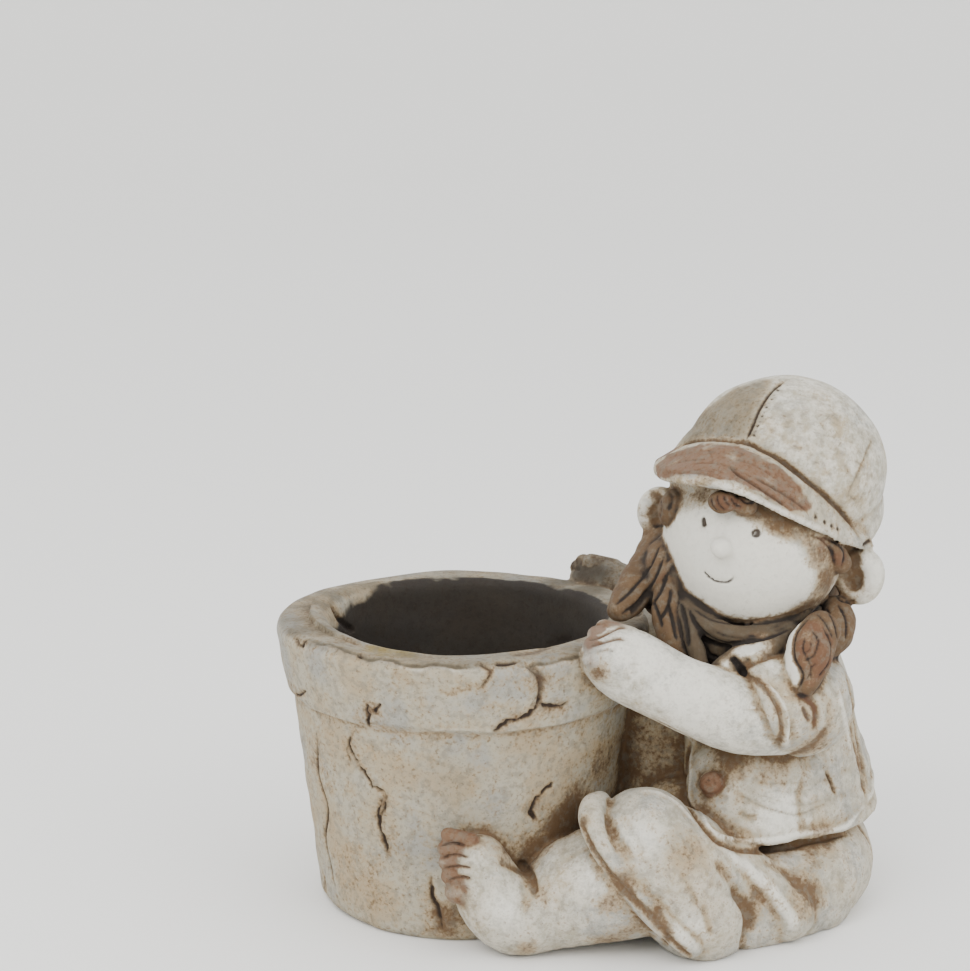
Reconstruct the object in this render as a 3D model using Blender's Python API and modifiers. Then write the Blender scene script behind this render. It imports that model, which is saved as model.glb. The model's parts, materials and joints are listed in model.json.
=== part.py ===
"""A cast garden planter: a small child in a peaked cap sits and hugs a thick-rimmed flowerpot.

The pot is a turned solid with a true hollow. The child is drawn on a grid of its own height,
from balls, tapered limbs and clipped garment shells, fused and softened like a moulded casting.
Frame: metres, +Z up, origin under the middle of the whole piece, the child on the +X side.
"""
import math

import bmesh
import bpy
from mathutils import Matrix, Vector

# Pot, in metres
POT_HEIGHT = 0.186
RIM_RADIUS = 0.120
RIM_BAND_HEIGHT = 0.044
RIM_BAND_TAPER = 0.006
RIM_LIP_ROUND = 0.007
RIM_THICKNESS = 0.029
NECK_STEP = 0.0045
BASE_RADIUS = 0.095
BASE_ROUND = 0.004
WALL = 0.016
FLOOR = 0.017
FLOOR_ROUND = 0.008
POT_STEPS = 48

# Child, in metres, with its grid: one grid step is a 343rd of the child's height
CHILD_HEIGHT = 0.343
GRID_STEPS = 343.0
STEP = CHILD_HEIGHT / GRID_STEPS

# The casting: how finely the child is fused, how many faces it keeps, and the flat sawn underside
FUSE_SIZE = 0.0020
SOFTENING = 3
CHILD_FACES = 8000
CASTING_STUB = 0.012

# Steps round a large ball
FINE = 32

NODE = "child_with_flowerpot"


def clear_scene():
    """Remove every object, so that the model starts from nothing."""
    for item in list(bpy.data.objects):
        bpy.data.objects.remove(item, do_unlink=True)


def collection(name):
    """A named collection, linked to the scene."""
    group = bpy.data.collections.new(name)
    bpy.context.scene.collection.children.link(group)
    return group


def grid(x, y, z):
    """A point of the child's grid: x runs out from the rim's face, y across, z up."""
    return Vector((RIM_RADIUS + x * STEP, y * STEP, z * STEP))


def on_rim(angle, out, up):
    """A point by the pot's rim, out from its outer face and up from its top, in grid steps."""
    turn = math.radians(angle)
    radius = RIM_RADIUS + out * STEP
    return Vector((radius * math.cos(turn), radius * math.sin(turn), POT_HEIGHT + up * STEP))


def beside_pot(side, x, out, z):
    """A point beside the foot of the pot, out from its base radius, in grid steps."""
    return Vector((RIM_RADIUS + x * STEP, side * (BASE_RADIUS + out * STEP), z * STEP))


def heading(yaw, pitch=0.0, roll=0.0):
    """A turn for a form whose front is -Y: yaw swings it to -X, pitch nods it, roll leans it to +X."""
    swing = Matrix.Rotation(math.radians(-yaw), 4, "Z")
    nod = Matrix.Rotation(math.radians(pitch), 4, "X")
    lean = Matrix.Rotation(math.radians(roll), 4, "Y")
    return swing @ nod @ lean


def add(form, piece):
    """Add a small bmesh to the form, and free it."""
    mesh = bpy.data.meshes.new("piece")
    piece.to_mesh(mesh)
    piece.free()
    form.from_mesh(mesh)
    bpy.data.meshes.remove(mesh)


def ball(form, centre, radii, turn=None, fine=20):
    """Add an ellipsoid. The radii are in grid steps, across, deep and high."""
    size = Matrix.Diagonal((radii[0] * STEP, radii[1] * STEP, radii[2] * STEP, 1.0))
    place = Matrix.Translation(centre) @ (turn or Matrix.Identity(4)) @ size
    piece = bmesh.new()
    bmesh.ops.create_uvsphere(piece, u_segments=fine, v_segments=fine // 2 + 2, radius=1.0, matrix=place)
    add(form, piece)


def tube(form, start, start_radius, end, end_radius):
    """Add a straight tapered tube between two points."""
    axis = end - start
    turn = axis.to_track_quat("Z", "Y").to_matrix().to_4x4()
    place = Matrix.Translation((start + end) / 2) @ turn
    piece = bmesh.new()
    bmesh.ops.create_cone(
        piece, cap_ends=True, segments=24, radius1=start_radius * STEP, radius2=end_radius * STEP,
        depth=axis.length, matrix=place)
    add(form, piece)


def limb(form, *joints):
    """Add a limb: a ball at each joint, given as a point and a radius, and a tube between them."""
    for point, radius in joints:
        ball(form, point, (radius, radius, radius))
    for (start, start_radius), (end, end_radius) in zip(joints, joints[1:]):
        tube(form, start, start_radius, end, end_radius)


def roll(form, radius, points):
    """Add a roll of cloth or hair of even thickness, along grid points."""
    limb(form, *[(grid(*point), radius) for point in points])


def ring(form, centre, turn, across, high, thickness):
    """Add a rolled ring in the XZ plane of a turn, such as a cuff or an ear's rim, in grid steps."""
    count = 20
    points = []
    for index in range(count):
        angle = math.tau * index / count
        spoke = Vector((across * STEP * math.cos(angle), 0.0, high * STEP * math.sin(angle)))
        points.append(centre + turn @ spoke)
    for point, following in zip(points, points[1:] + points[:1]):
        ball(form, point, (thickness, thickness, thickness), None, 12)
        tube(form, point, thickness, following, thickness)


def clipped(form, build, *planes):
    """Add the forms that build makes, each cut off flat by planes: a point and a normal to the waste."""
    whole = bmesh.new()
    build(whole)
    for point, normal in planes:
        parts = whole.verts[:] + whole.edges[:] + whole.faces[:]
        cut = bmesh.ops.bisect_plane(whole, geom=parts, plane_co=point, plane_no=normal, clear_outer=True)
        rim = [edge for edge in cut["geom_cut"] if isinstance(edge, bmesh.types.BMEdge)]
        bmesh.ops.holes_fill(whole, edges=rim)
    add(form, whole)


def loft(form, sections):
    """Add a closed skin over rings of points, with flat ends."""
    piece = bmesh.new()
    rings = [[piece.verts.new(point) for point in section] for section in sections]
    count = len(rings[0])
    for ring, following in zip(rings, rings[1:]):
        for index in range(count):
            after = (index + 1) % count
            piece.faces.new((ring[index], ring[after], following[after], following[index]))
    piece.faces.new(rings[0][::-1])
    piece.faces.new(rings[-1])
    bmesh.ops.recalc_face_normals(piece, faces=piece.faces[:])
    add(form, piece)


def make_material():
    """Pale magnesia cement, cast and rubbed with an earth-brown wash."""
    stone = bpy.data.materials.new("cast_cement")
    stone.use_nodes = True
    shader = stone.node_tree.nodes["Principled BSDF"]
    shader.inputs["Base Color"].default_value = (0.56, 0.52, 0.45, 1.0)
    shader.inputs["Roughness"].default_value = 0.85
    shader.inputs["Metallic"].default_value = 0.0
    return stone


def arc(radius, centre_radius, centre_height, start, end, steps=3):
    """Points of a round in the pot's section, as pairs of radius and height."""
    points = []
    for index in range(steps + 1):
        angle = math.radians(start + (end - start) * index / steps)
        points.append((centre_radius + radius * math.cos(angle), centre_height + radius * math.sin(angle)))
    return points


def pot_section():
    """The pot's section: out over the inner floor, up the hollow, over the lip and down the outer side."""
    inner_rim = RIM_RADIUS - RIM_THICKNESS
    inner_floor = BASE_RADIUS - WALL
    lip = RIM_LIP_ROUND
    band_foot = POT_HEIGHT - RIM_BAND_HEIGHT
    band_radius = RIM_RADIUS - RIM_BAND_TAPER
    round_off = FLOOR_ROUND
    points = [(0.0, FLOOR)]
    points += arc(round_off, inner_floor - round_off, FLOOR + round_off, -90, 0)
    points += arc(lip, inner_rim + lip, POT_HEIGHT - lip, 180, 90)
    points += arc(lip, RIM_RADIUS - lip, POT_HEIGHT - lip, 90, 0)
    points += arc(NECK_STEP, band_radius - NECK_STEP, band_foot + NECK_STEP, 0, -90, 2)
    points += [(BASE_RADIUS, BASE_ROUND), (BASE_RADIUS - BASE_ROUND / 2, 0.0)]
    points += [(BASE_RADIUS - BASE_ROUND / 2, -CASTING_STUB), (0.0, -CASTING_STUB)]
    return points


def core_section():
    """A core that stands half a wall outside the hollow, to keep the child out of the pot."""
    half = WALL / 2
    inner_floor = BASE_RADIUS - WALL
    inner_rim = RIM_RADIUS - RIM_THICKNESS
    top = POT_HEIGHT - RIM_LIP_ROUND
    points = [(0.0, top), (inner_rim + half, top), (inner_floor + half, FLOOR), (0.0, FLOOR / 2)]
    return points


def turned(name, points, group):
    """A solid turned about the upright axis from a section."""
    mesh = bpy.data.meshes.new(name)
    vertices = [(radius, 0.0, height) for radius, height in points]
    edges = [(index, index + 1) for index in range(len(points) - 1)]
    mesh.from_pydata(vertices, edges, [])
    item = bpy.data.objects.new(name, mesh)
    group.objects.link(item)
    screw = item.modifiers.new("turning", "SCREW")
    screw.angle = math.tau
    screw.steps = POT_STEPS
    screw.render_steps = POT_STEPS
    screw.use_merge_vertices = True
    screw.merge_threshold = 0.0001
    screw.use_smooth_shade = True
    return item


def build_body(form):
    """The seat, the chest leaning on the pot, and the neck."""
    ball(form, grid(86, 0, 26), (62, 88, 46), None, FINE)
    ball(form, grid(60, 0, 30), (58, 78, 44), None, FINE)
    limb(form, (grid(16, 0, 30), 44), (grid(16, 0, 122), 42))
    for side in (-1, 1):
        limb(form, (grid(14, side * 46, 18), 30), (grid(18, side * 42, 66), 26))
    limb(form, (grid(66, 0, 50), 66), (grid(62, 0, 118), 61), (grid(62, -2, 150), 47))
    limb(form, (grid(62, -8, 160), 42), (grid(60, -24, 212), 38))
    ball(form, grid(60, -28, 178), (50, 44, 28), None, FINE)
    ball(form, grid(40, -36, 206), (32, 30, 26))
    ball(form, grid(80, 2, 212), (46, 50, 40), None, FINE)


def build_vest(form):
    """The open jacket: a shell round the back and sides, and two flared corners at the front."""
    cuts = [
        (grid(0, 0, 60), Vector((0, 0, -1))), (grid(20, 0, 0), Vector((-1, 0, 0))),
        (grid(32, 0, 66), Vector((-0.6, 0, -0.8)))]

    def shell(whole):
        joints = [(grid(72, 0, 20), 78), (grid(72, 0, 58), 78), (grid(69, 0, 92), 71)]
        joints += [(grid(65, 0, 128), 66), (grid(63, -2, 152), 50)]
        limb(whole, *joints)

    def corners(whole):
        for side in (-1, 1):
            limb(
                whole, (grid(62, side * 44, 100), 38), (grid(56, side * 50, 84), 39),
                (grid(58, side * 50, 62), 41))
    clipped(form, shell, *cuts)
    clipped(form, corners, *cuts)
    ball(form, grid(34, -80, 98), (8, 5, 8))


# The rolled hem of the skirt over one leg, from the knee down to the ground: x, y out, height and radius
HEM = [
    (-36, 96, 92, 6.5), (-41, 108, 92, 8), (-41, 119, 83, 8), (-34, 127, 70, 7.5), (-22, 130, 55, 8),
    (-8, 132, 39, 8), (6, 132, 24, 8), (18, 130, 12, 8)]

# Toes from the smallest to the big one: x, out from the pot, height and radius, in grid steps
TOES = [
    (-129, 18, 77, 4.6), (-131, 20, 69, 4.8), (-130, 22, 61, 5.0), (-128, 24, 53, 5.4), (-124, 24, 43, 7.2)]


def build_leg(form, side):
    """One leg: the skirt over the thigh, the bare calf and the upturned foot. The side is -1 or 1 in y."""
    def skirt(whole):
        joints = [(grid(90, side * 48, 18), 40), (grid(64, side * 76, 20), 33)]
        joints += [(grid(40, side * 86, 25), 33), (grid(10, side * 96, 47), 40)]
        joints += [(grid(-14, side * 99, 52), 39), (grid(-48, side * 103, 50), 34)]
        limb(whole, *joints)
    clipped(form, skirt, (grid(-11, side * 115, 39), Vector((-0.80, side * -0.05, -0.60))))
    limb(form, (grid(-8, side * 102, 70), 32), (grid(8, side * 105, 46), 33), (grid(26, side * 104, 22), 31))
    limb(form, (grid(48, side * 92, 48), 18), (grid(80, side * 88, 18), 20))
    limb(form, *[(grid(x, side * y, height), radius) for x, y, height, radius in HEM])
    joints = [(grid(20, side * 98, 42), 30), (beside_pot(side, -35, 4, 40), 36)]
    joints += [(beside_pot(side, -66, 9, 28), 27), (beside_pot(side, -88, 13, 23), 24)]
    joints += [(beside_pot(side, -102, 15, 37), 23), (beside_pot(side, -110, 17, 58), 18)]
    limb(form, *joints)
    for x, out, z, radius in TOES:
        tip = beside_pot(side, x, out, z)
        root = tip + Vector((15, side * 4, -2)) * STEP
        limb(form, (tip, radius), (root, radius))


# Fingertips from the lowest one up: x, y out, height above the rim and radius
FINGERS = [(-42, 104, -1, 6), (-42, 100, 6, 6), (-39, 94, 11, 6), (-34, 87, 13, 6)]


def build_arm(form, side):
    """One arm: the short sleeve, the bare arm, the hand on the rim and its fingers."""
    cuff = grid(67, side * 82, 152)
    outward = Vector((-0.92, 0.0, -0.388))

    def sleeve(whole):
        limb(
            whole, (grid(88.5, side * 46, 147), 34), (grid(86, side * 70, 147), 33),
            (grid(40, side * 84, 156), 31))
    clipped(form, sleeve, (cuff, outward))
    ring(form, cuff, outward.to_track_quat("Y", "Z").to_matrix(), 28, 28, 4.5)
    limb(
        form, (grid(80, side * 74, 142), 26), (grid(50, side * 88, 146), 25), (grid(24, side * 94, 156), 23),
        (grid(6, side * 94, 164), 22), (on_rim(side * 41, 14, -10), 23), (on_rim(side * 46, 10, -3), 19))
    for x, y, up, radius in FINGERS:
        tip = grid(x, side * y, 0) + Vector((0, 0, POT_HEIGHT + up * STEP))
        root = tip + Vector((16, side * 2, -4)) * STEP
        limb(form, (tip, radius), (root, radius))


# The ears: centre x, y and height, then the rolled rim's reach across and up and its thickness
EARS = [(6, -4, 255, 9, 11, 5.5), (129, -40, 221.5, 8.5, 11.5, 7)]


def build_head(form):
    """The face with its nose, the two ears and the cap."""
    face = heading(20, 0, 11)
    ball(form, grid(62, -32, 242), (57, 54.5, 59.5), face, FINE)
    ball(form, grid(36, -84, 249), (7.2, 6.5, 6.8))
    ball(form, grid(82.5, -12, 283.5), (64.5, 62, 59.5), None, FINE)
    ball(form, grid(71, -16, 281), (62, 56, 44), None, FINE)
    ball(form, grid(88, -4, 260), (59, 60, 44), None, FINE)
    for x, y, height, across, high, thick in EARS:
        centre = grid(x, y, height)
        ball(form, centre, (across + 3, 8, high + 3), face)
        front = centre + face.to_3x3() @ Vector((0, -5 * STEP, 0))
        ring(form, front, face.to_3x3(), across, high, thick)


# The peak of the cap, from the ear round the front to the other ear: where it leaves the dome,
# and its outer edge
PEAK_ROOT = [
    (130, -38, 243), (115, -56, 258), (106, -64, 275), (89, -66, 290), (70, -62, 303), (50, -50, 309),
    (36, -32, 307), (31, -10, 299), (32, 12, 288), (38, 32, 274), (54, 46, 258), (74, 50, 243)]
PEAK_EDGE = [
    (134, -44, 241), (114, -66, 250), (100, -77, 258), (78, -87, 270), (57, -91, 281), (37, -90, 288),
    (15, -78, 290), (0, -46, 288), (2, -8, 285), (14, 26, 272), (36, 50, 256), (74, 55, 240)]
PEAK_THICKNESS = 8


def build_peak(form):
    """The cap's peak: a thick lip that springs from the dome and dies out at the ears."""
    centre = grid(88, -10, 262)
    sections = []
    for root, edge in zip(PEAK_ROOT, PEAK_EDGE):
        inner = grid(*root)
        outer = grid(*edge)
        run = (outer - inner).normalized()
        across = run.cross((outer - centre).cross(run)).normalized()
        lift = across * (PEAK_THICKNESS * STEP / 2)
        if lift.z < 0:
            lift.negate()
        inner -= run * (6 * STEP)
        middle = inner.lerp(outer, 0.55) + lift * 0.9
        tip = outer + run * lift.length
        sections.append([inner + lift * 0.4, middle + lift, outer + lift, tip, outer - lift, inner - lift])
    loft(form, sections)


def build_hair(form):
    """The curls on the brow, the bunches under the ears and the tied tail on the collar."""
    limb(form, (grid(113, -48, 200), 9.5), (grid(112, -57, 193), 12), (grid(106, -64, 184), 11))
    limb(
        form, (grid(98, -82, 196), 12), (grid(91, -88, 184), 15), (grid(87, -95, 172), 11),
        (grid(84, -101, 162), 4))
    limb(form, (grid(106, -52, 182), 12), (grid(104, -54, 166), 9))
    limb(
        form, (grid(6, -10, 236), 13), (grid(-4, -28, 218), 14), (grid(-15, -42, 208), 12),
        (grid(-22, -50, 202), 9))
    ball(form, grid(12, -30, 216), (22, 26, 28))
    roll(form, 9, [(10, -44, 222), (6, -56, 200), (12, -62, 178)])
    ball(form, grid(12, -34, 262), (10, 14, 12))
    ball(form, grid(36, -82, 277), (9, 7, 7.5), heading(25))
    ball(form, grid(51, -82, 275), (8, 7, 6), heading(15))
    roll(form, 6.5, [(97, -66, 250), (107, -63, 242), (113, -57, 233)])


def build_collar(form):
    """The rolled neckcloth, its hanging edge and its turned-down end."""
    roll(form, 7, [(18, -54, 206), (30, -66, 196), (46, -73, 192), (66, -72, 192.5), (90, -56, 203)])
    roll(form, 5, [(18, -60, 204), (21, -68, 190), (27, -75, 172)])
    limb(
        form, (grid(35, -82, 169), 7), (grid(48, -82, 176), 10), (grid(64, -78, 184), 9),
        (grid(80, -68, 191), 8))


def make_child(group):
    """The child as one closed body: every form fused, softened and thinned to its face budget."""
    form = bmesh.new()
    build_body(form)
    build_vest(form)
    for side in (-1, 1):
        build_leg(form, side)
        build_arm(form, side)
    build_head(form)
    build_peak(form)
    build_hair(form)
    build_collar(form)
    mesh = bpy.data.meshes.new("child")
    form.to_mesh(mesh)
    form.free()
    child = bpy.data.objects.new("child", mesh)
    group.objects.link(child)
    fuse = child.modifiers.new("fuse", "REMESH")
    fuse.mode = "VOXEL"
    fuse.voxel_size = FUSE_SIZE
    soften = child.modifiers.new("soften", "SMOOTH")
    soften.factor = 0.5
    soften.iterations = SOFTENING
    fused = evaluated_mesh(child)
    triangles = sum(len(face.vertices) - 2 for face in fused.polygons)
    thin = child.modifiers.new("thin", "DECIMATE")
    thin.ratio = CHILD_FACES / triangles
    thin.use_collapse_triangulate = True
    bpy.data.meshes.remove(fused)
    return child


def evaluated_mesh(item):
    """The item's mesh as its modifiers leave it."""
    bpy.context.view_layer.update()
    graph = bpy.context.evaluated_depsgraph_get()
    return bpy.data.meshes.new_from_object(item.evaluated_get(graph))


def as_tool(item):
    """Mark an item as a tool body: seen as wire, never rendered."""
    item.hide_render = True
    item.display_type = "WIRE"


def saw_block(group):
    """The block below the ground plane that the underside is cut flat with."""
    reach = (RIM_RADIUS + CHILD_HEIGHT) * 2
    depth = CHILD_HEIGHT / 2
    form = bmesh.new()
    place = Matrix.Translation((0, 0, -depth / 2)) @ Matrix.Diagonal((reach, reach, depth, 1.0))
    bmesh.ops.create_cube(form, size=1.0, matrix=place)
    mesh = bpy.data.meshes.new("saw")
    form.to_mesh(mesh)
    form.free()
    saw = bpy.data.objects.new("saw", mesh)
    group.objects.link(saw)
    return saw


def combine(item, other, operation):
    """Join another solid to an item, or cut it away."""
    change = item.modifiers.new(operation.lower() + "_" + other.name, "BOOLEAN")
    change.operation = operation
    change.solver = "EXACT"
    change.object = other
    as_tool(other)


def middle_of(mesh):
    """The point of the ground under the middle of the mesh's box."""
    xs = [vertex.co.x for vertex in mesh.vertices]
    ys = [vertex.co.y for vertex in mesh.vertices]
    return Vector(((min(xs) + max(xs)) / 2, (min(ys) + max(ys)) / 2, 0.0))


def main():
    """Build the planter: the child fitted to the pot, sawn flat below and set over the origin."""
    clear_scene()
    works = collection("child_with_flowerpot_parts")
    tools = collection("tools")
    child = make_child(tools)
    combine(child, turned("core", core_section(), tools), "DIFFERENCE")
    pot = turned("pot", pot_section(), tools)
    combine(pot, child, "UNION")
    combine(pot, saw_block(tools), "DIFFERENCE")
    mesh = evaluated_mesh(pot)
    as_tool(pot)
    mesh.transform(Matrix.Translation(-middle_of(mesh)))
    mesh.name = NODE
    planter = bpy.data.objects.new(NODE, mesh)
    works.objects.link(planter)
    mesh.materials.clear()
    mesh.materials.append(make_material())
    mesh.shade_smooth()
    mesh.set_sharp_from_angle(angle=math.radians(50))


main()
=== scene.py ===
"""Looks of a garden planter: a child in a peaked cap hugs a flowerpot, cast in rubbed cement.

The whole casting is one piece that stands for the one solid. It is modelled from balls, tapered limbs,
lofts and a spun pot, fused, softened, and then carved: cracks, seams, strands, folds and features.
Every mark that shows in the reference view is placed through that view, so it lands on the surface.
"""

import json
import logging
import math
from dataclasses import dataclass
from enum import Enum, IntEnum
from typing import Callable, Sequence

import bmesh
import bpy
import numpy as np
from mathutils import Euler, Matrix, Vector
from mathutils.bvhtree import BVHTree
from mathutils.kdtree import KDTree


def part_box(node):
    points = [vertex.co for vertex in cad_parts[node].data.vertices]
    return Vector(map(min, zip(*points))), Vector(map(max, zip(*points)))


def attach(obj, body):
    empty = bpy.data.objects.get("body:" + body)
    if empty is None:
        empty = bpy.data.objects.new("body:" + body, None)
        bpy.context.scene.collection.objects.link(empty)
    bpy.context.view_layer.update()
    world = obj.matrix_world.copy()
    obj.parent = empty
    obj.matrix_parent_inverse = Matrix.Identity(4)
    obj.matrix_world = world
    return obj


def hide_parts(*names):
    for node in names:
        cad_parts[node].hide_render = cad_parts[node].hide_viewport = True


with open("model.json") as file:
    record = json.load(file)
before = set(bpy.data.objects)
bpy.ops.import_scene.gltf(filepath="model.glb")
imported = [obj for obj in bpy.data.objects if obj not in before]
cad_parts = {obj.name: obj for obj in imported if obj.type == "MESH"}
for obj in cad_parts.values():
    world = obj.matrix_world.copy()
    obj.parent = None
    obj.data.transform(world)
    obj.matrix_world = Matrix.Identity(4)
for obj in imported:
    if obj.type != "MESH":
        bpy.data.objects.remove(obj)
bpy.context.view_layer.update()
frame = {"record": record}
NODE = "child_with_flowerpot"
BODY = "root"
PIECE = "child_with_flowerpot_cast"
FACES = 195000
CELL = 1.2
SOFTENING = 3
LOG = logging.getLogger("planter")

Pixel = tuple[float, float]
Trail = Sequence[Pixel]


class Region(IntEnum):
    """What a stretch of the casting shows; kept as the material index of its faces while it is built."""

    POT = 0
    CAP = 2
    PEAK = 3
    FACE = 4
    EAR = 5
    HAIR = 6
    NECK = 7
    COLLAR = 8
    SHIRT = 9
    JACKET = 10
    SKIRT = 11
    ARM = 12
    LEG = 13
    TOE = 14
    FINGER = 15
    BUTTON = 16


class Tone(Enum):
    """A layer of colour on the cast cement, each kept as a value for every point of the mesh."""

    PALE = "pale"
    # the brown worked into the hollows, which also serves as brown painted shade under and between parts
    WASH_AND_SHADE = "wash"
    PAINT = "paint"
    LINE = "line"
    SHADE = "shade"
    OCHRE = "ochre"
    # dark grey dirt, which also serves as painted shade on the neck, the far hand, the far rim and the cap's
    # dim side
    GRIME_AND_SHADE = "grime"


class Drawing:
    """The drawing's scale and place: millimetres from the pot's axis, in the frame's metres."""

    HEIGHT = 342.9
    RIM_RADIUS = 120.0

    def __init__(self) -> None:
        """Read the scale from the solid's height, and the pot's axis from the mount on its floor."""
        low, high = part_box(NODE)
        mounts = {mount["name"]: mount for mount in frame["record"]["mounts"]}
        place = mounts["pot_floor"]["pos_m"]
        self.mm = (high[2] - low[2]) / self.HEIGHT
        self.axis = Vector((place[0], place[1], 0.0))

    def child(self, x: float, y: float, z: float) -> Vector:
        """A point of the child: x out from the rim's face, y across, z up, in millimetres."""
        return self.axis + Vector((self.RIM_RADIUS + x, y, z)) * self.mm

    def round_pot(self, angle: float, radius: float, z: float) -> Vector:
        """A point round the pot's axis, at an angle in degrees from +X."""
        turn = math.radians(angle)
        return self.axis + Vector((radius * math.cos(turn), radius * math.sin(turn), z)) * self.mm


DRAWING = Drawing()
MM = DRAWING.mm


@dataclass(frozen=True)
class Viewpoint:
    """The reference view as a pinhole camera.

    Args:
        place: the camera's place from the pot's axis, in millimetres.
        pitch: how far the camera looks down, in degrees.
        focal: the focal length in pixels of the reference frame.
        width: the frame's width in pixels.
        height: the frame's height in pixels.
        sensor: the camera's sensor, in millimetres, along the longer side of the frame.
    """

    place: tuple[float, float, float] = (13.5, -1400.0, 556.0)
    pitch: float = 11.54
    focal: float = 2237.0
    width: int = 970
    height: int = 971
    sensor: float = 36.0

    @property
    def origin(self) -> Vector:
        """The camera's place in the frame."""
        return DRAWING.axis + Vector(self.place) * MM

    @property
    def turn(self) -> Euler:
        """The camera's turn."""
        return Euler((math.radians(90.0 - self.pitch), 0.0, 0.0))

    def ray(self, pixel: Pixel) -> Vector:
        """The direction in which a pixel of the frame looks."""
        across = pixel[0] - self.width / 2
        down = pixel[1] - self.height / 2
        return (self.turn.to_matrix() @ Vector((across, -down, -self.focal))).normalized()

    def camera(self) -> bpy.types.Object:
        """Add the camera.

        Returns:
            The camera object, which is also the scene's camera.
        """
        data = bpy.data.cameras.new("reference_view")
        data.sensor_width = self.sensor
        data.lens = self.sensor * self.focal / max(self.width, self.height)
        data.clip_end = 20.0
        item = bpy.data.objects.new("reference_view", data)
        bpy.context.scene.collection.objects.link(item)
        item.location = self.origin
        item.rotation_euler = self.turn
        bpy.context.scene.camera = item
        return item


VIEW = Viewpoint()


def heading(yaw: float, pitch: float = 0.0, roll: float = 0.0) -> Matrix:
    """A turn for a form whose front is -Y: yaw swings it to -X, pitch nods it, roll leans it to +X."""
    swing = Matrix.Rotation(math.radians(-yaw), 4, "Z")
    nod = Matrix.Rotation(math.radians(pitch), 4, "X")
    lean = Matrix.Rotation(math.radians(roll), 4, "Y")
    return swing @ nod @ lean


def smooth_course(points: Sequence[Sequence[float]], steps: int) -> list[np.ndarray]:
    """A smooth course through points, by cubic pieces.

    Args:
        points: the points that the course passes through, of any dimension.
        steps: how many places to read on each stretch.

    Returns:
        The places on the course, with both of its ends.
    """
    knots = [np.asarray(point, float) for point in points]
    knots = [2 * knots[0] - knots[1]] + knots + [2 * knots[-1] - knots[-2]]
    course = []
    for index in range(1, len(knots) - 2):
        before, start, end, after = knots[index - 1:index + 3]
        for step in range(steps):
            t = step / steps
            course.append(0.5 * (
                2 * start + (end - before) * t + (2 * before - 5 * start + 4 * end - after) * t * t
                + (3 * start - before - 3 * end + after) * t ** 3))
    course.append(knots[-2])
    return course


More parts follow.
